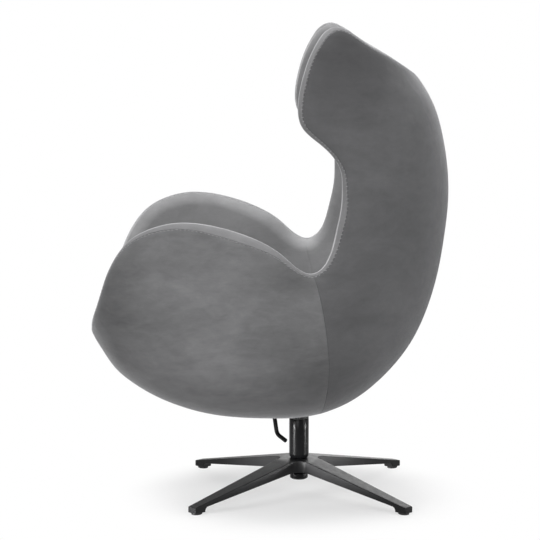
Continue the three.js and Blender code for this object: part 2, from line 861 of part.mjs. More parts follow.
// Loose seat cushion with a crowned top and drawn-in sides, fitted to the padding around it
function makeCushion() {
  const middle = new THREE.Vector3(0, 0, 0);
  const low = deckTop + fitGap;
  const lipClearance = rimRoundingRadius + cushionSideGap;
  const bodyHeight = cushionHeight - cushionCrownHeight;
  const walls = allRays.map(linerFace);
  const outlineAt = (wall, height) => {
    const top = wall[0].z - lipClearance;
    const foot = wall[wall.length - 1].z + fitGap;
    return pointAtHeight(wall, Math.max(Math.min(height, top), foot));
  };
  const backWall = walls[leftRays.length - 1];
  middle.y = (outlineAt(walls[0], low).y + outlineAt(backWall, low).y) / 2;
  const rings = cushionRings.map(({ size, lift, crown, edge, pull }) => {
    const level = low + lift * bodyHeight;
    return walls.map((wall) => {
      const outwards = outlineAt(wall, level).setZ(0).sub(middle);
      const reach = outwards.length();
      const inset = cushionSideGap + edge * cushionEdgeRadius + pull * cushionPullInDepth;
      outwards.multiplyScalar((size * (reach - inset)) / reach);
      return new THREE.Vector3(outwards.x, middle.y + outwards.y, level + crown * cushionCrownHeight);
    });
  });
  const under = new THREE.Vector3(0, middle.y, low);
  const crest = new THREE.Vector3(0, middle.y, low + cushionHeight);
  const sections = allRays.map((_, i) => [under, ...rings.map((ring) => ring[i]), crest]);
  const cushion = loftGeometry(sections, true, () => true, splitsTurned(allRays));
  addPiece('seat_cushion', cushion, fabricMaterial());
}

// Plan of the bolts that hold the plate under the deck
function boltPlaces() {
  const x = channelHalfWidth + flangeWidth / 2;
  const y = plateLength / 2 - boltHeadRadius * 2;
  return [[x, -y], [x, y], [-x, y], [-x, -y]];
}

// Pressed plate with a channel that carries the gas spring's socket
function makePlate() {
  const top = deckHeight - fitGap;
  const floor = top - channelDepth;
  const reach = channelHalfWidth + flangeWidth;
  const profile = [
    [-reach, top - plateThickness], [-channelHalfWidth - plateThickness, top - plateThickness],
    [-channelHalfWidth - plateThickness, floor], [channelHalfWidth + plateThickness, floor],
    [channelHalfWidth + plateThickness, top - plateThickness], [reach, top - plateThickness],
    [reach, top], [channelHalfWidth, top], [channelHalfWidth, floor + plateThickness],
    [-channelHalfWidth, floor + plateThickness], [-channelHalfWidth, top], [-reach, top],
  ];
  const plate = prism(profile, -plateLength / 2, plateLength / 2);
  plate.rotateX(Math.PI / 2);
  const socketRadius = cylinderRadius + fitGap + socketWall + fitGap;
  const socketHole = turned([
    [0, floor - holeOverrunLength], [socketRadius, floor - holeOverrunLength],
    [socketRadius, floor + holeOverrunLength], [0, floor + holeOverrunLength],
  ]);
  const boltHoles = boltPlaces().map(([x, y]) => turned([
    [0, floor], [boltRadius + fitGap, floor], [boltRadius + fitGap, top + holeOverrunLength], [0, top + holeOverrunLength],
  ], smallRoundSteps).translate(x, y, 0));
  addPiece('mechanism_plate', cut(plate, socketHole, ...boltHoles), blackMetal());

  const inner = cylinderRadius + fitGap;
  const outer = inner + socketWall;
  const socketTop = cylinderTop - fitGap;
  const socketBottom = socketTop - socketHeight;
  addPiece('spring_socket', turned([
    [inner, socketBottom], [outer, socketBottom], [outer, socketTop], [inner, socketTop], [inner, socketBottom],
  ]), steelMaterial());
}

// Bolts from below through the plate's flanges into the deck
function makeBolts() {
  const seat = deckHeight - fitGap - plateThickness - fitGap;
  boltPlaces().forEach(([x, y], i) => {
    const bolt = turned([
      [0, seat - boltHeadHeight], [boltHeadRadius, seat - boltHeadHeight], [boltHeadRadius, seat],
      [boltRadius, seat], [boltRadius, seat + boltLength], [0, seat + boltLength],
    ], smallRoundSteps);
    addPiece(`plate_bolt_${i + 1}`, bolt.translate(x, y, 0), steelMaterial());
  });
}

// Gas spring: cylinder, valve pin, piston rod and piston
function makeGasSpring() {
  const bore = cylinderRadius - cylinderWall;
  const lowWall = cylinderBottom + cylinderWall;
  const highWall = cylinderTop - cylinderWall;
  const rodHole = rodRadius + runningGap;
  const valveHole = valveRadius + runningGap;
  addPiece('gas_cylinder', turned([
    [rodHole, cylinderBottom], [cylinderRadius, cylinderBottom], [cylinderRadius, cylinderTop],
    [valveHole, cylinderTop], [valveHole, highWall], [bore, highWall], [bore, lowWall],
    [rodHole, lowWall], [rodHole, cylinderBottom],
  ]), steelMaterial());

  const valveFoot = highWall - valveTravelLength - 2 * cylinderWall;
  addPiece('valve_pin', turned([
    [0, valveFoot], [valveRadius, valveFoot], [valveRadius, cylinderTop + valveProudHeight],
    [0, cylinderTop + valveProudHeight],
  ], smallRoundSteps), steelMaterial());

  const pistonBottom = lowWall + liftTravelLength + pistonEndClearance;
  addPiece('piston_rod', turned([
    [0, rodBottom], [rodRadius, rodBottom], [rodRadius, pistonBottom + pistonHeight], [0, pistonBottom + pistonHeight],
  ], smallRoundSteps), steelMaterial());
  addPiece('piston', turned([
    [rodRadius + fitGap, pistonBottom], [bore - runningGap, pistonBottom],
    [bore - runningGap, pistonBottom + pistonHeight], [rodRadius + fitGap, pistonBottom + pistonHeight],
    [rodRadius + fitGap, pistonBottom],
  ]), plasticMaterial());
}

// Bearing and clip that hold the piston rod's foot in the column, so that the seat turns on it
function makeRodFoot() {
  const washer = (low, high, radius) => turned([
    [rodRadius + fitGap, low], [radius, low], [radius, high], [rodRadius + fitGap, high], [rodRadius + fitGap, low],
  ], smallRoundSteps);
  addPiece('rod_clip', washer(clipBottom, clipBottom + clipHeight, clipRadius), steelMaterial());
  const bearingTop = bearingBottom + bearingHeight;
  addPiece('thrust_bearing', washer(bearingBottom, bearingTop, bearingRadius), steelMaterial());
}

// Column tube with its narrowed foot, guide bush and top collar
function makeColumn() {
  const bore = columnRadius - columnWall;
  const footBore = bossNeckRadius - columnWall - fitGap;
  const neckTop = hubTop - legHubHeight;
  const floorTop = bossBottom + bossFloorThickness;
  addPiece('column_tube', turned([
    [footBore, floorTop + fitGap], [bossNeckRadius - fitGap, floorTop + fitGap],
    [bossNeckRadius - fitGap, neckTop], [columnRadius, neckTop + columnWall], [columnRadius, columnTop],
    [bore, columnTop], [bore, neckTop + 2 * columnWall], [footBore, neckTop + columnWall],
    [footBore, floorTop + fitGap],
  ]), blackMetal());

  const bushInner = cylinderRadius + runningGap;
  const bushOuter = bore - fitGap;
  const bushTop = columnTop - fitGap;
  addPiece('guide_bush', turned([
    [bushInner, bushTop - bushLength], [bushOuter, bushTop - bushLength], [bushOuter, bushTop],
    [bushInner, bushTop], [bushInner, bushTop - bushLength],
  ]), plasticMaterial());

  const collarOuter = columnRadius - collarLipHeight;
  addPiece('column_collar', turned([
    [bushInner, columnTop + fitGap], [columnRadius, columnTop + fitGap], [columnRadius, columnTop + collarLipHeight],
    [collarOuter, columnTop + collarLipHeight], [collarOuter, columnTop + collarHeight],
    [bushInner, columnTop + collarHeight], [bushInner, columnTop + fitGap],
  ]), plasticMaterial());
}

// Hub of the base, with a boss below it that closes the column's foot
function makeHub() {
  const low = hubTop - legHubHeight;
  addPiece('base_hub', turned([
    [columnRadius + fitGap, low], [hubRadius, low], [hubRadius, hubTop], [columnRadius + fitGap, hubTop],
    [columnRadius + fitGap, low],
  ]), blackMetal());
  const neckLow = low - bossNeckHeight;
  addPiece('bottom_boss', turned([
    [0, bossBottom], [bossRadius, bossBottom], [bossRadius, neckLow], [bossNeckRadius + columnWall / 2, neckLow],
    [bossNeckRadius + columnWall / 2, low - fitGap], [bossNeckRadius, low - fitGap],
    [bossNeckRadius, bossBottom + bossFloorThickness], [0, bossBottom + bossFloorThickness],
  ]), blackMetal());
}

// A leg along +X: flat top falling to the tip, tapering sides, and a foot under the tip
function legGeometry() {
  const start = hubRadius * Math.SQRT1_2;
  const tipTop = glideThickness + footHeight;
  const fall = (hubTop - tipTop) / (legTipRadius - hubRadius);
  const topAt = (s) => hubTop - fall * (s - hubRadius);
  const heelX = legTipRadius - footLength;
  const rampX = heelX - footRiseLength;
  const rampZ = topAt(rampX) - legTipHeight;
  const side = new THREE.Shape();
  side.moveTo(start, hubTop);
  side.lineTo(hubRadius, hubTop);
  side.lineTo(legTipRadius, tipTop);
  side.lineTo(legTipRadius, glideThickness);
  side.lineTo(heelX, glideThickness);
  side.quadraticCurveTo(heelX - footRiseLength / 4, rampZ, rampX, rampZ);
  side.lineTo(hubRadius, hubTop - legHubHeight);
  side.lineTo(start, hubTop - legHubHeight);
  side.closePath();
  const leg = new THREE.ExtrudeGeometry(side, { depth: 1, bevelEnabled: false, curveSegments: 4 });
  leg.translate(0, 0, -1 / 2);
  leg.rotateX(Math.PI / 2);
  const corners = leg.getAttribute('position');
  const taper = (legTipWidth - legHubWidth) / (legTipRadius - hubRadius);
  for (let i = 0; i < corners.count; i += 1) {
    const along = Math.max(corners.getX(i), hubRadius);
    corners.setY(i, corners.getY(i) * (legHubWidth + taper * (along - hubRadius)));
  }
  const hubCut = (hubRadius + fitGap) / Math.cos(Math.PI / roundSteps);
  const hubTool = turned([[0, -holeOverrunLength], [hubCut, -holeOverrunLength], [hubCut, hubTop * 2], [0, hubTop * 2]]);
  const stemTool = glideStem(glideStemRadius + fitGap, glideStemLength + fitGap);
  return cut(leg, hubTool, stemTool);
}

const glideAxis = legTipRadius - glideInsetLength;

// Stem of a glide, or the hole for it, on the leg's own axis
function glideStem(radius, length) {
  const low = glideThickness - fitGap;
  return turned([[0, low - fitGap], [radius, low - fitGap], [radius, low + length], [0, low + length]], smallRoundSteps)
    .translate(glideAxis, 0, 0);
}

// Plastic glide under a leg's tip, with its stem up in the foot
function glideGeometry() {
  const low = glideThickness - fitGap;
  return turned([
    [0, 0], [glideRadius, 0], [glideRadius, low], [glideStemRadius, low],
    [glideStemRadius, low + glideStemLength], [0, low + glideStemLength],
  ], smallRoundSteps).translate(glideAxis, 0, 0);
}

function makeLegs() {
  const leg = legGeometry();
  const glide = glideGeometry();
  for (let i = 0; i < legCount; i += 1) {
    const heading = ((i + 0.5) * 2 * Math.PI) / legCount;
    addPiece(`leg_${i + 1}`, leg.clone().rotateZ(heading), blackMetal());
    addPiece(`glide_${i + 1}`, glide.clone().rotateZ(heading), plasticMaterial());
  }
}

// Centre line through corner points with each corner rounded off
function roundedRoute(corners, bend) {
  const route = [corners[0]];
  for (let i = 1; i < corners.length - 1; i += 1) {
    const toBefore = corners[i - 1].clone().sub(corners[i]).setLength(bend);
    const toAfter = corners[i + 1].clone().sub(corners[i]).setLength(bend);
    const arc = new THREE.QuadraticBezierCurve3(
      corners[i].clone().add(toBefore), corners[i], corners[i].clone().add(toAfter),
    );
    route.push(...arc.getPoints(bendSteps));
  }
  return [...route, corners[corners.length - 1]];
}

// Round rod along a route, with its far end rounded over
function rodGeometry(route, radius) {
  const last = route.length - 1;
  const headings = route.map((point, i) => route[Math.min(i + 1, last)].clone()
    .sub(route[Math.max(i - 1, 0)]).normalize());
  let side = new THREE.Vector3(0, 0, 1).cross(headings[0]).normalize();
  const frames = headings.map((heading) => {
    side = side.clone().addScaledVector(heading, -side.dot(heading)).normalize();
    return [side, heading.clone().cross(side)];
  });
  const tip = route[last].clone().addScaledVector(headings[last], radius * roundedTipShare);
  const sections = [];
  for (let k = 0; k < rodSides; k += 1) {
    const angle = (k * 2 * Math.PI) / rodSides;
    const skin = route.map((point, i) => point.clone()
      .addScaledVector(frames[i][0], radius * Math.cos(angle))
      .addScaledVector(frames[i][1], radius * Math.sin(angle)));
    const shoulder = skin[last].clone().lerp(route[last], roundedTipShare)
      .addScaledVector(headings[last], radius * roundedTipShare / 2);
    sections.push([route[0], ...skin, shoulder, tip]);
  }
  return loftGeometry(sections, true);
}

// Lever: a bent rod that lies over the valve, turns in two bearings and comes out under the shell
function makeLever() {
  const corners = [
    new THREE.Vector3(-leverTipLength, 0, leverShaftHeight),
    new THREE.Vector3(leverArmLength, 0, leverShaftHeight),
    new THREE.Vector3(leverArmLength, -leverShaftLength, leverShaftHeight),
    new THREE.Vector3(leverExitReach, -leverExitSide, leverShaftHeight - leverExitDrop),
    new THREE.Vector3(leverElbowReach, -leverElbowSide, leverShaftHeight - leverElbowDrop),
    new THREE.Vector3(leverEndReach, -leverEndSide, leverShaftHeight - leverEndDrop),
  ];
  addPiece('lever_rod', rodGeometry(roundedRoute(corners, 2 * leverRadius), leverRadius), blackMetal());
}

// Bearing blocks on the plate's floor that the lever's shaft turns in
function makeLeverBearings() {
  const half = leverBearingWidth / 2;
  const low = plateFloorTop + fitGap;
  const faces = [plateLength / 2 - leverBearingThickness, leverRadius * 3 + leverBearingThickness];
  faces.forEach((face, i) => {
    const block = new THREE.Shape();
    block.moveTo(leverArmLength - half, low);
    block.lineTo(leverArmLength + half, low);
    block.lineTo(leverArmLength + half, leverShaftHeight);
    block.absarc(leverArmLength, leverShaftHeight, half, 0, Math.PI);
    block.lineTo(leverArmLength - half, low);
    const bore = new THREE.Path();
    bore.absarc(leverArmLength, leverShaftHeight, leverRadius + runningGap, 0, 2 * Math.PI, true);
    block.holes.push(bore);
    const solid = new THREE.ExtrudeGeometry(block, {
      depth: leverBearingThickness, bevelEnabled: false, curveSegments: 8,
    });
    solid.rotateX(Math.PI / 2);
    solid.translate(0, -face + leverBearingThickness, 0);
    addPiece(`lever_bearing_${i + 1}`, solid, plasticMaterial());
  });
}

makeCovers();
makeRimBand();
makeCore();
makeLiner();
makeDeck();
makeCushion();
makePlate();
makeBolts();
makeGasSpring();
makeRodFoot();
makeColumn();
makeHub();
makeLegs();
makeLever();
makeLeverBearings();

// The origin goes to the floor under the centre of the chair's bounding box
chair.updateMatrixWorld(true);
const bounds = new THREE.Box3().setFromObject(chair, true);
const centre = bounds.getCenter(new THREE.Vector3());
chair.position.set(-centre.x, -centre.y, -bounds.min.z);

export default chair;
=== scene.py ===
import json
import math

import bmesh
import bpy
import numpy as np
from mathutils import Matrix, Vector
from mathutils.bvhtree import BVHTree
from mathutils.kdtree import KDTree


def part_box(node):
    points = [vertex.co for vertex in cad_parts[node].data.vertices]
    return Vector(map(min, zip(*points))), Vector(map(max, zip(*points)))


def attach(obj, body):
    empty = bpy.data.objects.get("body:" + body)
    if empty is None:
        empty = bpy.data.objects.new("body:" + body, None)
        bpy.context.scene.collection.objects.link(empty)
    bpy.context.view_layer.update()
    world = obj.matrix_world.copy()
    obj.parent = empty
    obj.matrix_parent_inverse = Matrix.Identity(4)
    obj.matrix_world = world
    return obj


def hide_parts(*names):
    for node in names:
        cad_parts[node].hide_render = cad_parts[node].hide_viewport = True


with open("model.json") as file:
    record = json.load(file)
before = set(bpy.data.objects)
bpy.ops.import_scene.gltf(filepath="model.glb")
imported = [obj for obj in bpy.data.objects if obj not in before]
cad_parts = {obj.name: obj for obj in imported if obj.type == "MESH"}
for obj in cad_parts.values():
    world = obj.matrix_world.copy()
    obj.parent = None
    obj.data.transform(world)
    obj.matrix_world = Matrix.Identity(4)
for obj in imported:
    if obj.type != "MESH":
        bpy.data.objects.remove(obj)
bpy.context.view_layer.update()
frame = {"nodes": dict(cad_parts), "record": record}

# Sizes in millimetres. The chair faces -Y, and +X is the side of the lift lever.
MM = 0.001
COLUMN = [(a + b) / 2 / MM for a, b in zip(*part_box("column_tube"))]
SHIFT = np.array([0.0, COLUMN[1], 0.0])

TINY = 1e-9
FINE_STEPS = 2001

# Middle surface of the shell: a rounded body cut by the rim's curve
SHELL_TOP = 1110
SHELL_BOTTOM = 203
SHELL_HALF_WIDTH = 348
LIP_REACH = 478
BACK_REACH = 337
BACK_HALF_WIDTH = 290
NARROWING = (330, 620)
HEART_BEHIND_LIP = 418
HEART_RISE = 437
CORE = 10
GAP = 0.3
COVER = 8
LINER = 25
BACK_PADDING = 55
BACK_PADDING_LENGTH = 220
RIM_ROUNDING = 30
# Gap from the rim's crest to the band's outer seam, by turn
BAND_GAPS = [
    (0, 7), (0.1, 6), (0.2, 4.5), (0.24, 4), (0.28, 7), (0.32, 12), (0.36, 16), (0.4, 21),
    (0.44, 14), (0.48, 6), (0.5, 5), (0.52, 6), (0.56, 9.5), (0.6, 12), (0.62, 9), (0.64, 5),
    (0.68, 5), (0.72, 9.5), (0.8, 9), (0.84, 13), (1, 12),
]
BAND_EASE = 0.012
# Front lip: the crest stands out a little and the padding behind it starts thin
LIP_LIFT = 6
LIP_LIFT_REACH = 25
LIP_SWELL = (30, 115)
LIP_TURNS = (0.1, 0.22)
DECK_TOP = 310
OUTER = CORE / 2 + GAP + COVER
INNER = CORE / 2 + GAP + LINER
DEPTH = LIP_REACH + BACK_REACH
RISE = SHELL_TOP - SHELL_BOTTOM
NECK_ROW = 15

RIM_SHARES = [
    (0, 0.219), (0.002, 0.228), (0.006, 0.244), (0.009, 0.262), (0.02, 0.298), (0.036, 0.342),
    (0.054, 0.391), (0.09, 0.454), (0.124, 0.488), (0.18, 0.516), (0.236, 0.529), (0.366, 0.519),
    (0.45, 0.494), (0.533, 0.451), (0.585, 0.412), (0.616, 0.4035), (0.645, 0.417), (0.667, 0.449),
    (0.682, 0.497), (0.698, 0.573), (0.699, 0.611), (0.696, 0.647), (0.674, 0.686), (0.625, 0.727),
    (0.588, 0.761), (0.578, 0.813), (0.587, 0.864), (0.604, 0.916), (0.633, 0.968), (0.653, 0.99),
    (0.677, 1), (0.739, 0.976), (0.793, 0.944), (0.851, 0.912), (0.881, 0.892), (0.894, 0.882),
    (0.904, 0.87),
]
KEEL_SHARES = [
    (0, 0.219), (0.026, 0.18), (0.068, 0.137), (0.12, 0.098), (0.188, 0.06), (0.278, 0.027),
    (0.39, 0.004), (0.513, -0.003), (0.612, 0.002), (0.7, 0.028), (0.763, 0.063), (0.815, 0.102),
    (0.863, 0.15), (0.907, 0.211), (0.942, 0.286), (0.971, 0.38), (0.988, 0.478), (0.995, 0.567),
    (0.989, 0.655), (0.974, 0.73), (0.952, 0.795), (0.928, 0.838), (0.904, 0.87),
]
CLOSING_SHARES = [
    (0.862, 0.927), (0.79, 1.017), (0.68, 1.105), (0.513, 1.15), (0.32, 1.12), (0.16, 1.01),
    (0.055, 0.84), (-0.004, 0.66), (-0.029, 0.493), (-0.031, 0.372), (-0.02, 0.289),
]
KEEL_PACE = [(0, 0), (0.25, 0.19), (0.5, 0.39), (0.65, 0.69), (0.82, 0.885), (1, 1)]
ROUND_POWERS = (2.7, 2.2)
LIP_POWERS = (3.3, 0.8)
TOP_POWERS = (2.3, 0.6)
POWER_FOCUS = 4
LIP_FACING = 190
TOP_FACING = 90


def smooth(low, high, value):
    """Smooth step from 0 at low to 1 at high"""
    t = np.clip((np.asarray(value, float) - low) / (high - low), 0, 1)
    return t * t * (3 - 2 * t)


def bell(distance, reach):
    """Bell curve of height 1 that has died away at about twice its reach"""
    return np.exp(-((distance / reach) ** 2))


def unit(vectors):
    return vectors / np.linalg.norm(vectors, axis=-1, keepdims=True)


def round_angles(count):
    return np.linspace(0, 2 * np.pi, count, endpoint=False)


class Curve:
    """Natural cubic spline through rows of numbers over rising knots"""

    def __init__(self, rows, knots):
        self.rows, self.knots = np.array(rows, float), np.array(knots, float)
        span = np.diff(self.knots)
        pull = np.diff(np.diff(self.rows, axis=0) / span[:, None], axis=0)
        system = np.diag((span[:-1] + span[1:]) / 3)
        system += np.diag(span[1:-1] / 6, 1) + np.diag(span[1:-1] / 6, -1)
        self.bends = np.zeros_like(self.rows)
        self.bends[1:-1] = np.linalg.solve(system, pull)

    def __call__(self, at):
        at = np.asarray(at, float)
        i = np.clip(np.searchsorted(self.knots, at) - 1, 0, len(self.knots) - 2)
        span = self.knots[i + 1] - self.knots[i]
        e = ((self.knots[i + 1] - at) / span)[..., None]
        s = 1 - e
        bend = (e**3 - e) * self.bends[i] + (s**3 - s) * self.bends[i + 1]
        return e * self.rows[i] + s * self.rows[i + 1] + bend * span[..., None] ** 2 / 6


def running(points):
    """Running length along a chain of points"""
    steps = np.linalg.norm(np.diff(points, axis=0), axis=1)
    return np.concatenate([[0], np.cumsum(steps)])


def points_at(at, run, chain):
    """Points on a chain, or rows that belong to it, at running lengths"""
    return np.column_stack([np.interp(at, run, column) for column in chain.T])


def side_view(rows):
    return np.array(rows, float) * [DEPTH, RISE] + [-LIP_REACH, SHELL_BOTTOM]


HEART = np.array([HEART_BEHIND_LIP - LIP_REACH, HEART_RISE + SHELL_BOTTOM])
_arms = side_view(KEEL_SHARES + CLOSING_SHARES) - HEART
_angles = np.unwrap(np.arctan2(_arms[:, 1], _arms[:, 0]))
_radii = np.hypot(_arms[:, 0], _arms[:, 1])
LIP_ANGLE = _angles[0]
TOP_ANGLE = _angles[len(KEEL_SHARES) - 1]
_outline = Curve(
    np.concatenate([_radii[-3:], _radii, _radii[:3]])[:, None],
    np.concatenate([_angles[-3:] - 2 * np.pi, _angles, _angles[:3] + 2 * np.pi]),
)


def outline_radius(angle):
    return _outline(LIP_ANGLE + np.mod(angle - LIP_ANGLE, 2 * np.pi))[..., 0]


def section(y, z):
    """What is left of the full body's width in the side view, its power, and the full half width"""
    dy, dz = y - HEART[0], z - HEART[1]
    angle = np.arctan2(dz, dy)
    lip = ((1 + np.cos(angle - np.radians(LIP_FACING))) / 2) ** POWER_FOCUS
    top = ((1 + np.cos(angle - np.radians(TOP_FACING))) / 2) ** POWER_FOCUS
    side = ROUND_POWERS[0] + LIP_POWERS[0] * lip + TOP_POWERS[0] * top
    width = ROUND_POWERS[1] + LIP_POWERS[1] * lip + TOP_POWERS[1] * top
    narrowing = smooth(*NARROWING, (y + z) * math.sqrt(0.5))
    full = SHELL_HALF_WIDTH + (BACK_HALF_WIDTH - SHELL_HALF_WIDTH) * narrowing
    return 1 - (np.hypot(dy, dz) / outline_radius(angle)) ** side, width, full


def half_width(y, z):
    left, power, full = section(y, z)
    return full * np.maximum(left, 0) ** (1 / power)


def body_field(p):
    left, power, full = section(p[..., 1], p[..., 2])
    return (np.abs(p[..., 0]) / full) ** power - left


def normals(p, step=0.5):
    """Outward normals of the middle surface"""
    axes = np.eye(3) * step
    return unit(np.stack([body_field(p + a) - body_field(p - a) for a in axes], -1))


_rim_rows = side_view(RIM_SHARES)
_rim_knots = running(_rim_rows)
_rim = Curve(_rim_rows, _rim_knots)
_rim_steps = smooth(0, 1, np.linspace(0, 1, FINE_STEPS))
_rim_yz = _rim(_rim_steps * _rim_knots[-1])
_rim_x = half_width(_rim_yz[:, 0], _rim_yz[:, 1])
_rim_x[0] = _rim_x[-1] = 0
_rim_run = running(np.column_stack([_rim_x, _rim_yz]))
NECK = np.interp(_rim_knots[NECK_ROW] / _rim_knots[-1], _rim_steps, _rim_run) / _rim_run[-1]


def rim_at(turn):
    """Rim point by its turn: 0 at the lip, a half at the neck, 1 at the middle of the back"""
    turn = np.asarray(turn, float)
    share = turn + (NECK - 0.5) * 4 * turn * (1 - turn)
    step = np.interp(share * _rim_run[-1], _rim_run, _rim_steps)
    yz = _rim(step * _rim_knots[-1])
    x = np.where((step < TINY) | (step > 1 - TINY), 0, half_width(yz[..., 0], yz[..., 1]))
    return np.concatenate([x[..., None], yz], -1)


def outline_at(angle):
    return HEART + np.stack([np.cos(angle), np.sin(angle)], -1) * outline_radius(angle)[..., None]


_keel_angles = np.linspace(LIP_ANGLE, TOP_ANGLE, FINE_STEPS)
_keel_run = running(outline_at(_keel_angles))
_pace = Curve([[b] for _, b in KEEL_PACE], [a for a, _ in KEEL_PACE])


def keel_at(order):
    return outline_at(np.interp(_pace(order)[..., 0] * _keel_run[-1], _keel_run, _keel_angles))


def polar(share, angle):
    """Point of the middle surface: share 0 in the middle of the bottom to 1 at the rim"""
    x, y = share * np.sin(angle), np.clip(-share * np.cos(angle), -1, 1)
    reach = np.minimum(np.abs(x) / np.sqrt(np.maximum(1 - y * y, TINY / 1000)), 1)
    keel, rim = keel_at((1 + y) / 2), rim_at(np.arccos(-y) / np.pi)
    yz = keel + (rim[..., 1:] - keel) * (1 - np.cos(reach * np.pi / 2))[..., None]
    width = np.where(reach > 0, half_width(yz[..., 0], yz[..., 1]), 0)
    return np.concatenate([(width * np.sign(x))[..., None], yz], -1)


def both_sides(chain):
    """A chain on the +X side with its mirror image"""
    return np.vstack([chain[::-1] * [-1, 1, 1], chain])


def nearest(points, chain):
    """Distance from each point to the nearest point of a chain"""
    least = np.full(points.shape[:-1], np.inf)
    for corner in chain:
        least = np.minimum(least, ((points - corner) ** 2).sum(-1))
    return np.sqrt(least)


RIM_SAMPLES = 700
RIM_LOOP = both_sides(rim_at(np.linspace(0, 1, RIM_SAMPLES)))

# Degrees by which the side seam bows backwards, by its share of the way out to the rim
SEAM_BOW = [(0, 0), (0.2, 1.5), (0.4, 2.2), (0.6, 2.45), (0.75, 2.0), (0.9, 1.0), (1, 0)]
SEAM_BOW_REACH = 25
_bow = Curve([[b] for _, b in SEAM_BOW], [a for a, _ in SEAM_BOW])
RAY_SAMPLES = 160
RAY_PACE = 1.15


def bowed(share, angle):
    """Point of the middle surface on rays that bow along with the side seam"""
    near = 1 - smooth(0, SEAM_BOW_REACH, np.abs(np.abs(np.degrees(angle)) - 90))
    return polar(share, angle + np.sign(angle) * np.radians(_bow(share)[..., 0]) * near)


class Rays:
    """Sections of the shell from the rim to the middle of its bottom, at given angles"""

    def __init__(self, angles):
        self.angles = np.asarray(angles, float)
        self.turn = np.abs(self.angles) / np.pi
        self.steps = 1 - np.linspace(0, 1, RAY_SAMPLES + 1) ** RAY_PACE
        grid = bowed(*np.meshgrid(self.steps, self.angles))
        self.runs = np.array([running(row) for row in grid])
        self.gaps = nearest(grid, RIM_LOOP)
        self.gaps[:, 0] = 0
        self.length = self.runs[:, -1]
        self.is_lip = 1 - smooth(*LIP_TURNS, self.turn)[:, None]
        at, widths = zip(*BAND_GAPS)
        wide = [np.interp(self.turn + BAND_EASE * way, at, widths) for way in (-2, -1, 0, 1, 2)]
        self.band = self.run_at_gap(np.mean(wide, axis=0))

    def run_at_gap(self, gap):
        gap = np.broadcast_to(gap, self.angles.shape)
        return np.array([np.interp(g, gs, rs) for g, gs, rs in zip(gap, self.gaps, self.runs)])

    def middle(self, runs):
        """Points of the middle surface at running lengths, one row of them for each ray"""
        shares = np.array([np.interp(r, rs, self.steps) for r, rs in zip(runs, self.runs)])
        return bowed(np.clip(shares, 0, 1), self.angles[:, None] + 0 * shares)

    def at(self, runs):
        """Gaps to the rim and points of the middle surface at running lengths"""
        gaps = np.array([np.interp(r, rs, gs) for r, rs, gs in zip(runs, self.runs, self.gaps)])
        return gaps, self.middle(runs)

    def lift(self, gaps):
        """How far the crest of the front lip stands out"""
        return LIP_LIFT * self.is_lip * bell(gaps, LIP_LIFT_REACH)

    def outer_thickness(self, gaps):
        """Height of the outer padding over the middle surface"""
        lip = LIP_LIFT + (OUTER - LIP_LIFT) * smooth(*LIP_SWELL, gaps)
        return OUTER * rim_profile(gaps) * (1 - self.is_lip) + lip * self.is_lip


def rim_profile(gaps, rounding=RIM_ROUNDING):
    left = np.maximum(1 - gaps / rounding, 0)
    return np.sqrt(1 - left * left)


WAVE_COUNT = 7
WAVE_SPREAD = (0.7, 1.5)
WAVE_START = 6.28


def wobble(p, height, size, seed):
    """Soft unevenness of padding: a sum of slow waves"""
    rng = np.random.default_rng(seed)
    total = np.zeros(p.shape[:-1])
    for _ in range(WAVE_COUNT):
        heading = unit(rng.normal(size=3))
        total += np.sin((p @ heading) / size * rng.uniform(*WAVE_SPREAD) + rng.uniform(0, WAVE_START))
    return height * (total / WAVE_COUNT)


def edge_roll(distance, radius):
    """Drop of a padded face as it rolls over to its sewn edge"""
    left = np.clip(1 - distance / radius, 0, 1)
    return radius * (1 - np.sqrt(np.maximum(1 - left * left, 0)))


MERGE = 2e-5
SLIVER = 1e-5


def new_object(name, data):
    piece = bpy.data.objects.new(name, data)
    bpy.context.scene.collection.objects.link(piece)
    return piece


def make_mesh(name, points, faces):
    """New piece from points in millimetres, about the column's axis"""
    mesh = bpy.data.meshes.new(name)
    mesh.from_pydata(((np.asarray(points) + SHIFT) * MM).tolist(), [], faces)
    work = bmesh.new()
    work.from_mesh(mesh)
    bmesh.ops.remove_doubles(work, verts=work.verts, dist=MERGE)
    bmesh.ops.dissolve_degenerate(work, edges=work.edges, dist=SLIVER)
    bmesh.ops.triangulate(work, faces=[face for face in work.faces if len(face.verts) > 4])
    loose = [vert for vert in work.verts if not vert.link_faces]
    bmesh.ops.delete(work, geom=loose, context="VERTS")
    bmesh.ops.recalc_face_normals(work, faces=work.faces)
    work.to_mesh(mesh)
    work.free()
    mesh.shade_smooth()
    return new_object(name, mesh)


def loft(sections, is_ring):
    """Faces of a solid through closed sections, with a face at each end of an open row"""
    sections = np.asarray(sections)
    count, size = sections.shape[:2]
    faces = []
    for i in range(count if is_ring else count - 1):
        a, b = i * size, (i + 1) % count * size
        faces += [(a + j, b + j, b + (j + 1) % size, a + (j + 1) % size) for j in range(size)]
    if not is_ring:
        faces += [tuple(range(size)), tuple(range((count - 1) * size, count * size))[::-1]]
    return sections.reshape(-1, 3), faces


def layer(points, offsets):
    return points + normals(points) * offsets[..., None]


def places(mesh):
    """Places of the vertices, one row each"""
    flat = np.empty(3 * len(mesh.vertices))
    mesh.vertices.foreach_get("co", flat)
    return flat.reshape(-1, 3)


def add_nap_and_light(piece, patches, extra=0):
    """Colour made lighter or darker in soft patches, partly for brushed nap and partly painted light and
    shade: place (y, z), reach (y, z) and amount of each
    """
    y, z = places(piece.data)[:, 1:].T / MM
    total = np.zeros(len(y)) + extra
    for at_y, at_z, reach_y, reach_z, amount in patches:
        total += amount * bell(y - at_y, reach_y) * bell(z - at_z, reach_z)
    tone = piece.data.attributes.new("nap_and_light", "FLOAT", "POINT")
    tone.data.foreach_set("value", total.astype(np.float32))


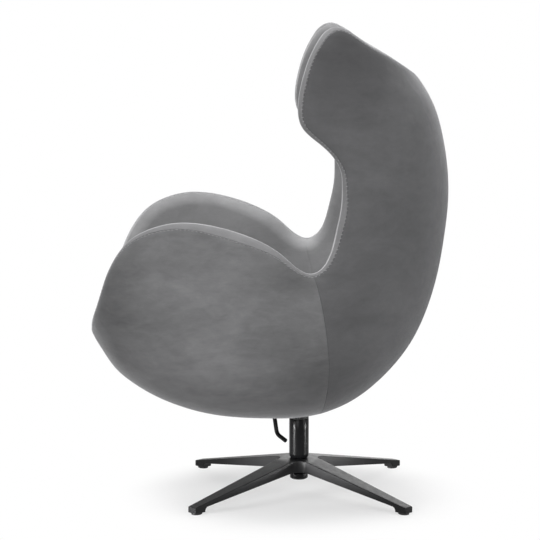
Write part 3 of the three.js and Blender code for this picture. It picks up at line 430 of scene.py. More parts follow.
# The upholstered shell
SEAM_ANGLE = math.pi / 2
SEAM_STEPS = np.radians([0.05, 0.13, 0.24, 0.4, 0.7, 1.1])
RAY_COUNT = 720
COVER_RINGS = 96
ROLL = 1.9
SEAM_ROLL_SHARE = 0.8
SEAM_RIDGE = 4.0
SEAM_RIDGE_REACH = 30
SEAM_CLEAR = 0.06
# Swells of the outer padding, with the places and gaps over which they begin
BELLY = 1.8
BELLY_RISE = (380, 300)
BELLY_DEPTH = (-150, -260)
BACK_SWELL = 2.8
BACK_SWELL_DEPTH = (0, 150)
BACK_SWELL_GAPS = (20, 120)
# Unevenness of each padded piece: height, size of the waves, seed
COVER_WAVES = (1.3, 34, 5)
BAND_WAVES = (0.5, 20, 9)
LINING_WAVES = (1.6, 42, 21)
# Where the covers' unevenness and ridge fade in: gaps to the rim, distance to the seam, heights
COVER_WAVE_GAPS = (4, 40)
COVER_WAVE_CLEAR = 3
RIDGE_GAPS = (0, 60)
RIDGE_HEIGHTS = (200, 530)
# Faint pull of the stitches on a sewn edge: depth, reach, where it starts and is full
STITCH_PITCH = 9.0
COVER_PULL = (0.35, 5, 0.5)
BAND_PULL = (0.3, 4, 0.4)
PULL_FULL = 2


def ray_angles(low, high, count):
    """Even angles, with more of them next to the side seams"""
    even = np.linspace(low, high, count)
    extra = [side * SEAM_ANGLE + way * SEAM_STEPS for side in (-1, 1) for way in (-1, 1)]
    extra = np.concatenate(extra + [[-SEAM_ANGLE, SEAM_ANGLE]])
    extra = extra[(extra > low) & (extra < high)]
    away = np.min(np.abs(even[:, None] - extra[None, :]), axis=1) if len(extra) else np.ones(len(even))
    keep = away > np.radians(SEAM_CLEAR)
    keep[[0, -1]] = True
    return np.sort(np.concatenate([even[keep], extra]))


seam_shares = np.linspace(1, 0.02, RAY_SAMPLES)
seam_middle = bowed(seam_shares, np.full_like(seam_shares, SEAM_ANGLE))
INNER_SEAMS = both_sides(seam_middle)
OUTER_SEAMS = both_sides(layer(seam_middle, np.full(len(seam_shares), OUTER)))


def run_at_height(rays, offset, height):
    """Running length at which a layer comes down to a height, walking in from the rim"""
    runs = rays.runs
    heights = layer(rays.middle(runs), np.full(runs.shape, float(offset)))[..., 2]
    found = np.empty(len(runs))
    for i, (row, z) in enumerate(zip(runs, heights)):
        j = max(int(np.argmax(z < height)), 1)
        found[i] = np.interp(-height, [-z[j - 1], -z[j]], [row[j - 1], row[j]])
    return found


def sewn_pull(middle, edge, depth, reach, start):
    waves = np.sin(running(middle[:, 0]) / STITCH_PITCH * 2 * np.pi)[:, None]
    return depth * waves * np.exp(-edge / reach) * smooth(start, PULL_FULL, edge)


COVER_PACE = 1.5
COVER_ROLL = np.array([0, 0.12, 0.35, 0.75, 1.3, 2.0, 3.0])
COVER_INSIDE = np.array([1, 0.8, 0.6, 0.4, 0.25, 0.12, 0.05, 0.0])


def make_cover(name, angles, shift):
    """Padded panel from the band's seam down to the middle of the bottom"""
    rays = Rays(angles)
    start = rays.band + GAP
    rolled = start + COVER_ROLL[-1]
    share = np.linspace(0, 1, COVER_RINGS)[1:] ** COVER_PACE
    down = rolled[:, None] + share * (rays.length - rolled)[:, None]
    outer = np.hstack([start[:, None] + COVER_ROLL, down])
    gaps, middle = rays.at(outer)
    thick = rays.outer_thickness(gaps)
    seam = nearest(layer(middle, thick), OUTER_SEAMS)
    thick += BELLY * smooth(*BELLY_RISE, middle[..., 2]) * smooth(*BELLY_DEPTH, middle[..., 1])
    thick += BACK_SWELL * smooth(*BACK_SWELL_DEPTH, middle[..., 1]) * smooth(*BACK_SWELL_GAPS, gaps)
    fade = smooth(*COVER_WAVE_GAPS, gaps) * smooth(COVER_WAVE_CLEAR, SEAM_RIDGE_REACH, seam)
    thick += wobble(middle, *COVER_WAVES) * fade
    fade = smooth(*RIDGE_GAPS, gaps) * smooth(*RIDGE_HEIGHTS, middle[..., 2])
    thick += SEAM_RIDGE * bell(seam, SEAM_RIDGE_REACH) * fade
    edge = outer - start[:, None]
    drop = np.maximum(edge_roll(edge, ROLL), edge_roll(seam, ROLL * SEAM_ROLL_SHARE))
    thick -= sewn_pull(middle, edge, *COVER_PULL)
    outside = layer(middle, np.maximum(thick - drop, GAP))
    core = rays.run_at_gap(RIM_ROUNDING)
    inner = core[:, None] + COVER_INSIDE * (rays.length - core)[:, None]
    inside = layer(rays.middle(inner), np.full(inner.shape, CORE / 2 + GAP))
    lip_gaps, lip = rays.at(np.stack([core, start], 1))
    under = layer(lip, GAP / 2 + rays.lift(lip_gaps))
    sections = np.concatenate([outside, inside, under], 1) + [0, shift, 0]
    return make_mesh(name, *loft(sections, False))


def prism(outline, low, high):
    """Points and faces of a straight prism over an outline"""
    return loft([[(x, y, z) for x, y in outline] for z in (low, high)], False)


def subtract(piece, tools):
    """Cut closed pieces out of a piece"""
    for tool in tools:
        modifier = piece.modifiers.new("opening", "BOOLEAN")
        modifier.operation, modifier.object, modifier.solver = "DIFFERENCE", tool, "EXACT"
    apply_all(piece)
    for tool in tools:
        bpy.data.objects.remove(tool)


def apply_all(piece):
    """Put the result of the modifiers into the mesh"""
    graph = bpy.context.evaluated_depsgraph_get()
    graph.update()
    done = bpy.data.meshes.new_from_object(piece.evaluated_get(graph))
    piece.modifiers.clear()
    old = piece.data
    piece.data = done
    if old.users == 0:
        bpy.data.meshes.remove(old)


front_rays = ray_angles(-SEAM_ANGLE, SEAM_ANGLE, RAY_COUNT // 2)
back_rays = ray_angles(SEAM_ANGLE, 3 * math.pi / 2, RAY_COUNT // 2)
back_rays = np.where(back_rays > math.pi + TINY, back_rays - 2 * math.pi, back_rays)

# Holes in the bottom for the column and for the lever
HOLE_RADIUS = 20
HOLE_SIDES = 64
LEVER_SLOT = [(44, -70.5), (84, -70.5), (84, -47.5), (44, -47.5)]
CUT_REACH = (150, 260)
round_hole = [(HOLE_RADIUS * math.cos(a), HOLE_RADIUS * math.sin(a)) for a in round_angles(HOLE_SIDES)]
cover_front = make_cover("cover_front", front_rays, -GAP / 2)
subtract(cover_front, [
    make_mesh("hole", *prism(round_hole, *CUT_REACH)), make_mesh("slot", *prism(LEVER_SLOT, *CUT_REACH)),
])
cover_back = make_cover("cover_back", back_rays, GAP / 2)
# Painted light and shade on the front cover: lighter patches where the key light falls, darker ones at the
# front edge, towards the back and along the bottom
add_nap_and_light(cover_front, [
    (-370, 490, 75, 190, -0.28), (-130, 370, 100, 75, 0.3), (-140, 525, 110, 80, 0.16),
    (110, 320, 80, 90, -0.3), (50, 560, 70, 35, -0.25), (0, 200, 420, 60, -0.16),
])
# Painted light and shade on the back cover: darker at the top and along the bottom, a lighter streak down its
# back edge where the light catches it
add_nap_and_light(cover_back, [
    (165, 1090, 170, 110, -0.33), (210, 980, 90, 120, -0.1), (200, 780, 90, 120, 0.08),
    (400, 800, 50, 330, 0.24), (320, 420, 110, 110, 0.14), (200, 470, 40, 100, -0.06),
    (130, 250, 120, 90, -0.26),
])

# Band that rounds off the outside of the rim, with a fine welt on its crest
BAND_STEPS = np.array([
    0, 0.012, 0.03, 0.06, 0.1, 0.16, 0.24, 0.33, 0.43, 0.54, 0.65, 0.76, 0.86, 0.93, 0.97, 0.99, 1,
])
WELT = 1.3
WELT_REACH = 1.6
WELT_HEADING = 4
# Painted highlight along the rim's crest: how much lighter it is made, and over what reach
CREST_PAINTED_HIGHLIGHT = 3.0
CREST_HIGHLIGHT_REACH = 2.1
CREST_SAMPLES = 6000
BAND_ROLL_SHARE = 0.7

rim_rays = Rays(ray_angles(-math.pi, math.pi, RAY_COUNT + 1)[:-1])


def distance_to_crest(piece):
    """Distance of each vertex to the crest of the rim"""
    gaps, rows = rim_rays.at(np.zeros((len(rim_rays.angles), 1)))
    line = layer(rows, rim_rays.lift(gaps))[:, 0]
    line = np.vstack([line, line[:1]])
    run = running(line)
    line = points_at(np.linspace(0, run[-1], CREST_SAMPLES), run, line)
    crest = KDTree(CREST_SAMPLES)
    for i, corner in enumerate((line + SHIFT) * MM):
        crest.insert(corner, i)
    crest.balance()
    return np.array([crest.find(vert.co)[2] / MM for vert in piece.data.vertices])


def make_band():
    """Band from the crest of the rim to its seam with the covers"""
    rays = rim_rays
    outer = rays.band[:, None] * BAND_STEPS
    gaps, middle = rays.at(outer)
    thick = np.maximum(rays.outer_thickness(gaps), GAP) + wobble(middle, *BAND_WAVES)
    edge = rays.band[:, None] - outer
    thick -= edge_roll(edge, ROLL * BAND_ROLL_SHARE)
    thick -= sewn_pull(middle, edge, *BAND_PULL)
    outside = layer(middle, np.maximum(thick, GAP + rays.lift(gaps)))
    # The crest is pinched up a little where band and lining are sewn together
    out = unit(middle[:, :1] - rays.middle(np.full((len(outer), 1), WELT_HEADING)))
    outside = outside + out * (WELT * bell(outer, WELT_REACH))[..., None]
    under_gaps, under = rays.at(np.stack([rays.band, rays.band / 2], 1))
    inside = layer(under, GAP / 2 + rays.lift(under_gaps))
    piece = make_mesh("band", *loft(np.concatenate([outside, inside], 1), True))
    # Painted highlight: the band is made lighter along the crest where light catches the rim's edge, and in
    # one soft patch of painted light
    crest_highlight = CREST_PAINTED_HIGHLIGHT * bell(distance_to_crest(piece), CREST_HIGHLIGHT_REACH)
    add_nap_and_light(piece, [(-60, 680, 150, 60, 0.15)], crest_highlight)
    return piece


band = make_band()

LINING_RINGS = 84
LINING_BEND = 0.55
LINING_SEAM = 1.4
LINING_SEAM_REACH = 3.0
LINING_SEAM_GAPS = (6, 30)
LINING_WAVE_GAPS = (4, 50)
LINING_BEHIND_ROWS = 10


def make_lining():
    """Inner padding from the crest of the rim down to the deck"""
    rays = rim_rays
    foot = run_at_height(rays, -CORE / 2 - GAP, DECK_TOP + GAP)
    share = np.linspace(0, 1, LINING_RINGS)
    gaps, middle = rays.at(foot[:, None] * (LINING_BEND * share**2 + (1 - LINING_BEND) * share))
    facing = normals(middle)[..., 1]
    extra = BACK_PADDING * smooth(0, 1, facing) * smooth(0, BACK_PADDING_LENGTH, gaps)
    thick = (INNER + extra) * rim_profile(gaps)
    thick += wobble(middle, *LINING_WAVES) * smooth(*LINING_WAVE_GAPS, gaps)
    seam = nearest(middle, INNER_SEAMS)
    thick -= LINING_SEAM * bell(seam, LINING_SEAM_REACH) * smooth(*LINING_SEAM_GAPS, gaps)
    face = layer(middle, rays.lift(gaps) - np.maximum(thick, 1.5 * GAP))
    core = rays.run_at_gap(RIM_ROUNDING)
    low = core[:, None] + np.linspace(1, 0, LINING_BEHIND_ROWS) * (foot - core)[:, None]
    behind = layer(rays.middle(low), np.full(low.shape, -CORE / 2 - GAP))
    edge_gaps, edge = rays.at(np.stack([core, rays.band, rays.band / 2], 1))
    under = layer(edge, rays.lift(edge_gaps) - GAP / 2)
    return make_mesh("lining", *loft(np.concatenate([face, behind, under], 1), True))


lining = make_lining()
# Painted light and shade on the lining: lighter on the inside of the arms where the light falls, darker high
# up on the back
add_nap_and_light(lining, [(100, 550, 80, 75, 0.6), (-60, 625, 120, 75, 0.42), (100, 940, 90, 170, -0.3)])


# Seat cushion
CUSHION_VOXEL = 5
CUSHION_START = 3.5
CUSHION_SWELL = 12
CUSHION_SIDE_SWELL = 3
CUSHION_SHOULDER = (60, 95)
CUSHION_STEPS = 20
CUSHION_WAIST = 66
PIPING_RADIUS = 2.6
PIPING_LIFT = 0.7
PIPING_INSET = 30
PIPING_STEPS = 360
PIPING_EASE = 12
PIPING_SIDES = 12


def blow_up(piece):
    """Pressure from inside, with a cap on how far a point may move"""
    rest = places(piece.data)
    cloth = piece.modifiers.new("cloth", "CLOTH")
    settings = cloth.settings
    settings.quality = 4
    settings.use_pressure, settings.uniform_pressure_force = True, 4
    settings.effector_weights.gravity = 0
    settings.tension_stiffness = settings.compression_stiffness = 15
    settings.bending_stiffness = 3
    cloth.collision_settings.use_collision = False
    cloth.point_cache.frame_start, cloth.point_cache.frame_end = 1, CUSHION_STEPS
    for step in range(1, CUSHION_STEPS + 1):
        bpy.context.scene.frame_set(step)
    graph = bpy.context.evaluated_depsgraph_get()
    move = places(piece.evaluated_get(graph).data) - rest
    piece.modifiers.clear()
    bpy.context.scene.frame_set(1)
    upper = smooth(*CUSHION_SHOULDER, rest[:, 2] / MM - DECK_TOP)
    most = (CUSHION_SIDE_SWELL + (CUSHION_SWELL - CUSHION_SIDE_SWELL) * upper) * MM
    length = np.linalg.norm(move, axis=1)
    at = rest + move * (np.minimum(length, most) / np.maximum(length, TINY))[:, None]
    at[:, 2] = np.maximum(at[:, 2], (DECK_TOP + GAP) * MM)
    piece.data.vertices.foreach_set("co", at.ravel())


def make_cushion():
    """Loose cushion: a copy of its solid, blown up a little"""
    mesh = bpy.data.objects["seat_cushion"].data.copy()
    piece = new_object("cushion", mesh)
    work = bmesh.new()
    work.from_mesh(mesh)
    bmesh.ops.remove_doubles(work, verts=work.verts, dist=SLIVER)
    bmesh.ops.recalc_face_normals(work, faces=work.faces)
    work.normal_update()
    for vert in work.verts:
        vert.co -= vert.normal * CUSHION_START * MM
    low = min(vert.co.z for vert in work.verts)
    for vert in work.verts:
        vert.co.z -= low - (DECK_TOP + GAP) * MM
    work.to_mesh(mesh)
    work.free()
    remesh = piece.modifiers.new("voxels", "REMESH")
    remesh.mode, remesh.voxel_size, remesh.use_smooth_shade = "VOXEL", CUSHION_VOXEL * MM, True
    apply_all(piece)
    smoothing = piece.modifiers.new("smoothing", "SMOOTH")
    smoothing.factor, smoothing.iterations = 0.5, 4
    apply_all(piece)
    blow_up(piece)
    fine = piece.modifiers.new("fine", "SUBSURF")
    fine.levels = fine.render_levels = 1
    apply_all(piece)
    piece.data.shade_smooth()
    return piece


cushion = make_cushion()

TUBE_START = (0.3, 0.2, 1.0)


def tube(path, radius, sides, is_closed=False):
    """Points and faces of a round tube along a path"""
    heads = np.roll(path, -1, 0) - np.roll(path, 1, 0) if is_closed else np.gradient(path, axis=0)
    heads = unit(heads)
    side = np.cross(heads[0], TUBE_START)
    across = []
    for head in heads:
        side = unit(side - head * side.dot(head))
        across.append(side)
    across = np.array(across)
    if is_closed:
        # Spread the twist that is left when the tube comes back to its start
        last = across[-1] - heads[0] * across[-1].dot(heads[0])
        twist = math.atan2(np.cross(last, across[0]).dot(heads[0]), last.dot(across[0]))
        turn = np.linspace(0, twist, len(path), endpoint=False)[:, None]
        across = across * np.cos(turn) + np.cross(heads, across) * np.sin(turn)
    up = np.cross(heads, across)
    angles = round_angles(sides)[:, None]
    circles = across[:, None] * np.cos(angles) + up[:, None] * np.sin(angles)
    return loft(path[:, None] + np.broadcast_to(radius, len(path))[:, None, None] * circles, is_closed)


def join_parts(parts):
    """One list of points and one of faces from several parts"""
    points, faces, start = [], [], 0
    for part_points, part_faces in parts:
        points.append(np.asarray(part_points))
        faces += [tuple(start + i for i in face) for face in part_faces]
        start += len(part_points)
    return np.vstack(points), faces


def make_piping():
    """Welt sewn round the upper edge of the cushion"""
    mesh = cushion.data
    corners = [vert.co for vert in mesh.vertices]
    tree = BVHTree.FromPolygons(corners, [face.vertices for face in mesh.polygons])
    low, high = (Vector(corner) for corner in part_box("seat_cushion"))
    middle = (low + high) / 2
    middle.z = (DECK_TOP + CUSHION_WAIST) * MM
    path = []
    for angle in round_angles(PIPING_STEPS):
        out = Vector((math.cos(angle), math.sin(angle), 0))
        side = tree.ray_cast(middle + out, -out)[0]
        slope = (out + Vector((0, 0, 1))).normalized()
        spot, normal = tree.ray_cast(side - out * PIPING_INSET * MM + slope, -slope)[:2]
        path.append(spot + normal * PIPING_LIFT * MM)
    path = np.array(path)
    for _ in range(PIPING_EASE):
        path = (np.roll(path, 1, 0) + 2 * path + np.roll(path, -1, 0)) / 4
    return make_mesh("cushion_piping", *tube(path / MM - SHIFT, PIPING_RADIUS, PIPING_SIDES, True))


piping = make_piping()

# Short stitches along the band's seam, each bowed and pulled into the fabric at its ends
STITCH_LENGTH = 5.6
STITCH_RADIUS = 0.7
STITCH_DEPTH = 0.7
STITCH_SLANT = 0.35
STITCH_OFFSET = 1.0
STITCH_RISE = 0.55
STITCH_DIP = 1.2
STITCH_SIDES = 6
STITCH_SEED = 3


def make_rim_stitches():
    rays = rim_rays
    at = rays.band[:, None] + STITCH_OFFSET
    gaps, middle = rays.at(at)
    out = normals(middle)
    surface = middle + out * (np.maximum(rays.outer_thickness(gaps), GAP) - STITCH_DEPTH)[..., None]
    aside = unit(rays.middle(at + 2) - middle)
    surface, out, aside = (np.vstack([rows[:, 0], rows[:1, 0]]) for rows in (surface, out, aside))

    run = running(surface)
    count = int(run[-1] // STITCH_PITCH)
    even = (np.arange(count) + 0.5) * run[-1] / count
    surface, out, aside = (points_at(even, run, rows) for rows in (surface, out, aside))
    ahead = unit(np.cross(out, aside))

    rng = np.random.default_rng(STITCH_SEED)
    parts = []
    steps = np.linspace(-1, 1, 7)
    for c, o, s, a in zip(surface, out, aside, ahead):
        slant = STITCH_SLANT * rng.uniform(0.2, 1.6)
        half = STITCH_LENGTH / 2 * rng.uniform(0.55, 1.15)
        heading = a * math.cos(slant) + s * math.sin(slant)
        middle = c + s * rng.normal(0, 0.25) + a * rng.normal(0, 0.5)
        path = middle + heading * (steps * half)[:, None] + o * (STITCH_RISE - STITCH_DIP * steps**4)[:, None]
        parts.append(tube(path, STITCH_RADIUS * (1 - 0.45 * steps**6), STITCH_SIDES))
    return make_mesh("rim_stitches", *join_parts(parts))


rim_stitches = make_rim_stitches()


# Base
LEG_COUNT = 4
LEG_TIP = 352
LEG_HUB_WIDTH = 50
LEG_TIP_WIDTH = 25.5
LEG_HUB_HEIGHT = 28
LEG_TIP_HEIGHT = 10.5
HUB_TOP = 80
HUB_RADIUS = 48
FOOT_LENGTH = 30
FOOT_HEIGHT = 14
FOOT_RISE = 10
GLIDE = 4.5
FILLET = 24
STAR_REACH = 62
LEG_EDGE = 1.6
LEG_EDGE_LEAST = 0.4
LEG_SOFT_TURN = 10
TIP_ROUNDING = 2.2
HEEL_STEP = 0.3
LEG_LENGTH = LEG_TIP - HUB_RADIUS
LEG_FALL = (HUB_TOP - GLIDE - FOOT_HEIGHT) / LEG_LENGTH
HEEL = LEG_TIP - FOOT_LENGTH
RAMP = HEEL - FOOT_RISE
TOUCH = LEG_HUB_WIDTH / 2 + FILLET
CROTCH = TOUCH - FILLET / math.sqrt(2)
SHARP_ANGLE = 40


def leg_half_width(s):
    taper = (LEG_TIP_WIDTH - LEG_HUB_WIDTH) / LEG_LENGTH
    straight = (LEG_HUB_WIDTH + taper * (np.maximum(s, HUB_RADIUS) - HUB_RADIUS)) / 2
    arc = TOUCH - np.sqrt(np.maximum(FILLET**2 - (TOUCH - np.minimum(s, TOUCH)) ** 2, 0))
    return float(np.where(s < TOUCH, np.minimum(np.maximum(straight, arc), s), straight))


def leg_top(s):
    """Height of the top: the flat hub goes over into the falling leg in a soft turn"""
    over = s - HUB_RADIUS
    turn = (over + LEG_SOFT_TURN) ** 2 / (4 * LEG_SOFT_TURN)
    bend = np.where(over < -LEG_SOFT_TURN, 0, np.where(over > LEG_SOFT_TURN, over, turn))
    return float(HUB_TOP - LEG_FALL * bend)


def leg_bottom(s):
    start = HUB_TOP - LEG_HUB_HEIGHT
    end = HUB_TOP - LEG_FALL * (RAMP - HUB_RADIUS) - LEG_TIP_HEIGHT
    slope = start + (end - start) * (s - HUB_RADIUS) / (RAMP - HUB_RADIUS)
    turn = np.clip((s - RAMP) / FOOT_RISE, 0, 1)
    drop = GLIDE + (end - GLIDE) * np.sqrt(np.maximum(1 - turn**2, 0))
    return float(np.where(s < HUB_RADIUS, start, np.where(s < RAMP, slope, np.where(s < HEEL, drop, GLIDE))))


def leg_turn(index):
    """Directions along a leg, across it and up, by the leg's number"""
    heading = (index - 0.5) * 2 * math.pi / LEG_COUNT
    x, y = math.cos(heading), math.sin(heading)
    return np.array([[x, y, 0], [-y, x, 0], [0, 0, 1]])


BOX_ROLLS = np.linspace(0, np.pi / 2, 5)
BOX_ACROSS = np.linspace(1, -1, 11)[1:-1]
BOX_ROUNDING_SHARE = 0.9


def box_ring(half, low, high, radius):
    """Rounded rectangle in (y, z), with as many points for every size"""
    r = min(radius, half * BOX_ROUNDING_SHARE, (high - low) / 2 * BOX_ROUNDING_SHARE)
    ring = []
    for quarter, (side, z) in enumerate([(1, high - r), (-1, high - r), (-1, low + r), (1, low + r)]):
        y = side * (half - r)
        turns = BOX_ROLLS + quarter * np.pi / 2
        ring += [(y + r * math.cos(turn), z + r * math.sin(turn)) for turn in turns]
        if quarter in (0, 2):
            ring += [(y * share, low if quarter else high) for share in BOX_ACROSS]
    return np.array(ring)


def crisp(piece):
    """Shade the rounded edges smooth and the square ends flat"""
    piece.data.set_sharp_from_angle(angle=math.radians(SHARP_ANGLE))
    return piece


def make_leg(index):
    """Leg from the star to its tip, with the tip's end rounded over"""
    stops = [(s, 0) for s in np.linspace(STAR_REACH, RAMP, 24)]
    stops += [(RAMP + FOOT_RISE * math.sin(a), 0) for a in np.linspace(0.05, 1, 12) * np.pi / 2]
    stops += [(s, 0) for s in np.linspace(HEEL + HEEL_STEP, LEG_TIP - TIP_ROUNDING, 8)]
    for a in np.linspace(0.25, 1, 6) * np.pi / 2:
        stops.append((LEG_TIP - TIP_ROUNDING * (1 - math.sin(a)), TIP_ROUNDING * (1 - math.cos(a))))
    sections = []
    for s, inset in stops:
        size = leg_half_width(s) - inset, leg_bottom(s) + inset, leg_top(s) - inset
        ring = box_ring(*size, max(LEG_EDGE - inset, LEG_EDGE_LEAST))
        sections.append(np.column_stack([np.full(len(ring), s), ring]))
    points, faces = loft(sections, False)
    return crisp(make_mesh(f"base_leg_{index}", points @ leg_turn(index), faces))


STAR_ROLLS = np.linspace(0, np.pi / 2, 5)
STAR_ACROSS = np.linspace(-1, 1, 17)[1:-1]
STAR_EDGE_RUN = 1.5
STAR_INSIDE = np.linspace(0, CROTCH, 10)
STAR_OUTSIDE = CROTCH + (STAR_REACH - CROTCH) * np.linspace(0, 1, 22)[1:] ** 1.6


def star_ring(s):
    """Section of a stump of the star: left side, edge, top and edge, then the same turned upside down"""
    half, top, low = leg_half_width(s), leg_top(s), leg_bottom(s)
    # Near the crotch the edge rounds off along the diagonal too
    r = LEG_EDGE * min(1, max(s - CROTCH, 0) / STAR_EDGE_RUN)
    edge = [(half - r + r * math.cos(a), top - r + r * math.sin(a)) for a in STAR_ROLLS]
    upper = [(-half, (top + low) / 2)] + [(-y, z) for y, z in edge]
    upper += [((half - r) * share, top) for share in STAR_ACROSS] + edge[::-1]
    return [(s, y, z) for y, z in upper] + [(s, -y, top + low - z) for y, z in upper]


def make_star():
    """Hub of the base with a short stump towards each leg and hollow rounded corners between them"""
    points, faces = loft([star_ring(s) for s in (*STAR_INSIDE, *STAR_OUTSIDE)], False)
    half = len(STAR_ACROSS) + 2 * len(STAR_ROLLS) + 1
    flat = range(len(STAR_ROLLS), len(STAR_ROLLS) + len(STAR_ACROSS) + 1)
    # A stump is closed at its far end, and has sides only outside the crotch
    inside = (len(STAR_INSIDE) - 1) * 2 * half
    kept = [face for k, face in enumerate(faces[:-2]) if k >= inside or k % half in flat] + faces[-1:]
    stumps = [(points @ leg_turn(index), kept) for index in range(1, LEG_COUNT + 1)]
    return crisp(make_mesh("base_star", *join_parts(stumps)))


def lathe(name, profile, steps=96, centre=(0, 0)):
    """Solid of revolution from (radius, height) points, closed on itself or with its ends on the axis"""
    profile = np.array(profile, float)
    is_closed = np.allclose(profile[0], profile[-1])
    if is_closed:
        profile = profile[:-1]
    angles = round_angles(steps)
    rings = np.stack([
        centre[0] + profile[:, 0] * np.cos(angles)[:, None],
        centre[1] + profile[:, 0] * np.sin(angles)[:, None],
        profile[:, 1] + 0 * angles[:, None],
    ], -1)
    points, faces = loft(rings, True)
    if not is_closed:
        faces = [face for k, face in enumerate(faces) if (k + 1) % len(profile)]
    return make_mesh(name, points, faces)


CORNER_SHARE = 0.45


def rounded(chain, radius, steps=4):
    """Chain of points with its corners rounded off"""
    chain = [np.array(p, float) for p in chain]
    is_closed = np.allclose(chain[0], chain[-1])
    body = chain[:-1] if is_closed else chain
    done = []
    for i, p in enumerate(body):
        if not is_closed and i in (0, len(body) - 1):
            done.append(p)
            continue
        before, after = body[i - 1] - p, body[(i + 1) % len(body)] - p
        far, near = np.linalg.norm(before), np.linalg.norm(after)
        reach = min(radius, far * CORNER_SHARE, near * CORNER_SHARE)
        a, b = p + before / far * reach, p + after / near * reach
        done += [(1 - t) ** 2 * a + 2 * t * (1 - t) * p + t**2 * b for t in np.linspace(0, 1, steps + 1)]
    return done + [done[0]] if is_closed else done


base_star = make_star()
base_legs = [make_leg(i) for i in range(1, LEG_COUNT + 1)]

# Column: a drawn tube with a turned-in foot, and the boss that closes it under the hub
COLUMN_RADIUS = 23.5
COLUMN_TOP = 176
COLUMN_FOOT = 33.3
COLUMN_EDGE = 0.8
FOOT_RADIUS = 18
BORE = 21
SHOULDER_TOP = 92
SHOULDER_HEIGHT = 12
shoulder = [
    (FOOT_RADIUS + (COLUMN_RADIUS - FOOT_RADIUS) * math.sin(a), SHOULDER_TOP - SHOULDER_HEIGHT * math.cos(a))
    for a in np.linspace(0, 1, 10) * np.pi / 2
]
column = lathe("column", [
    (FOOT_RADIUS, COLUMN_FOOT + COLUMN_EDGE), *shoulder, (COLUMN_RADIUS, 150),
    (COLUMN_RADIUS, COLUMN_TOP - COLUMN_EDGE), (COLUMN_RADIUS - 0.25, COLUMN_TOP - 0.25),
    (COLUMN_RADIUS - COLUMN_EDGE, COLUMN_TOP), (BORE + 0.5, COLUMN_TOP), (BORE, COLUMN_TOP - 0.5),
    (BORE, SHOULDER_TOP), (FOOT_RADIUS - 2.5, 84), (FOOT_RADIUS - 2.5, COLUMN_FOOT),
    (FOOT_RADIUS - COLUMN_EDGE, COLUMN_FOOT), (FOOT_RADIUS, COLUMN_FOOT + COLUMN_EDGE),
])
# Turned pieces: radius and height of each corner
COLLAR = [(14.6, 176.3), (23.2, 176.3), (23.2, 179.5), (20.0, 179.5), (20.0, 186), (14.6, 186), (14.6, 176.3)]
BOSS = [
    (0, 29), (17.5, 29), (17.5, 29.6), (21.5, 31.5), (21.5, 42), (20, 44.5), (18.9, 46), (18.9, 51.6),
    (18.3, 51.6), (18.3, 33), (0, 33),
]
GLIDE_PROFILE = [(0, 0), (10.2, 0), (11.4, 1), (11.4, 3.4), (11, 4.4), (3.4, 4.4), (3.4, 12), (0, 12)]
# The lift's cylinder shows between collar and shell when the seat is raised
CYLINDER = [
    (5.3, 62), (14, 62), (14, 262), (4.4, 262), (4.4, 259.5), (11.5, 259.5), (11.5, 64.5), (5.3, 64.5),
    (5.3, 62),
]
collar = lathe("collar", rounded(COLLAR, 0.7))
boss = lathe("boss", rounded(BOSS, 0.9))
cylinder = lathe("lift_cylinder", rounded(CYLINDER, 0.8))

GLIDE_PLACE = 336
GLIDE_SIDES = 48
GLIDE_STRETCH = 1.22


def make_glide(index):
    """Pad under the end of a leg, a little longer along the leg than it is wide"""
    along = leg_turn(index)[0]
    glide = lathe(f"foot_glide_{index}", rounded(GLIDE_PROFILE, 0.5), GLIDE_SIDES, GLIDE_PLACE * along[:2])
    middle, along = Vector((SHIFT + GLIDE_PLACE * along) * MM), Vector(along)
    for vert in glide.data.vertices:
        vert.co += along * (vert.co - middle).dot(along) * (GLIDE_STRETCH - 1)
    return glide


glides = [make_glide(i) for i in range(1, LEG_COUNT + 1)]

# Lever: a bent rod, from its pivot to its rounded tip
LEVER_RADIUS = 5
LEVER_HEIGHT = 275.3
LEVER_CORNERS = [
    (-1, 0, 0), (25, 0, 0), (25, -62, 0), (56, -60, -77.3), (70, -53, -123.3), (92, -32, -135.3),
]
LEVER_BEND_STEPS = 12
LEVER_STEPS = 90
LEVER_TIP_STEPS = np.array([1.5, 0.9, 0.45, 0.15])
LEVER_TIP_ROUNDING = 1.4
LEVER_SIDES = 28


def make_lever():
    route = np.array(rounded(LEVER_CORNERS, 2 * LEVER_RADIUS, LEVER_BEND_STEPS)) + [0, 0, LEVER_HEIGHT]
    knots = running(route)
    even = np.linspace(0, knots[-1], LEVER_STEPS)
    even = np.unique(np.concatenate([even, knots[-1] - LEVER_TIP_STEPS]))
    path = points_at(even, knots, route)
    radius = LEVER_RADIUS - edge_roll(knots[-1] - even, LEVER_TIP_ROUNDING)
    return make_mesh("lever", *tube(path, radius, LEVER_SIDES))


lever = make_lever()


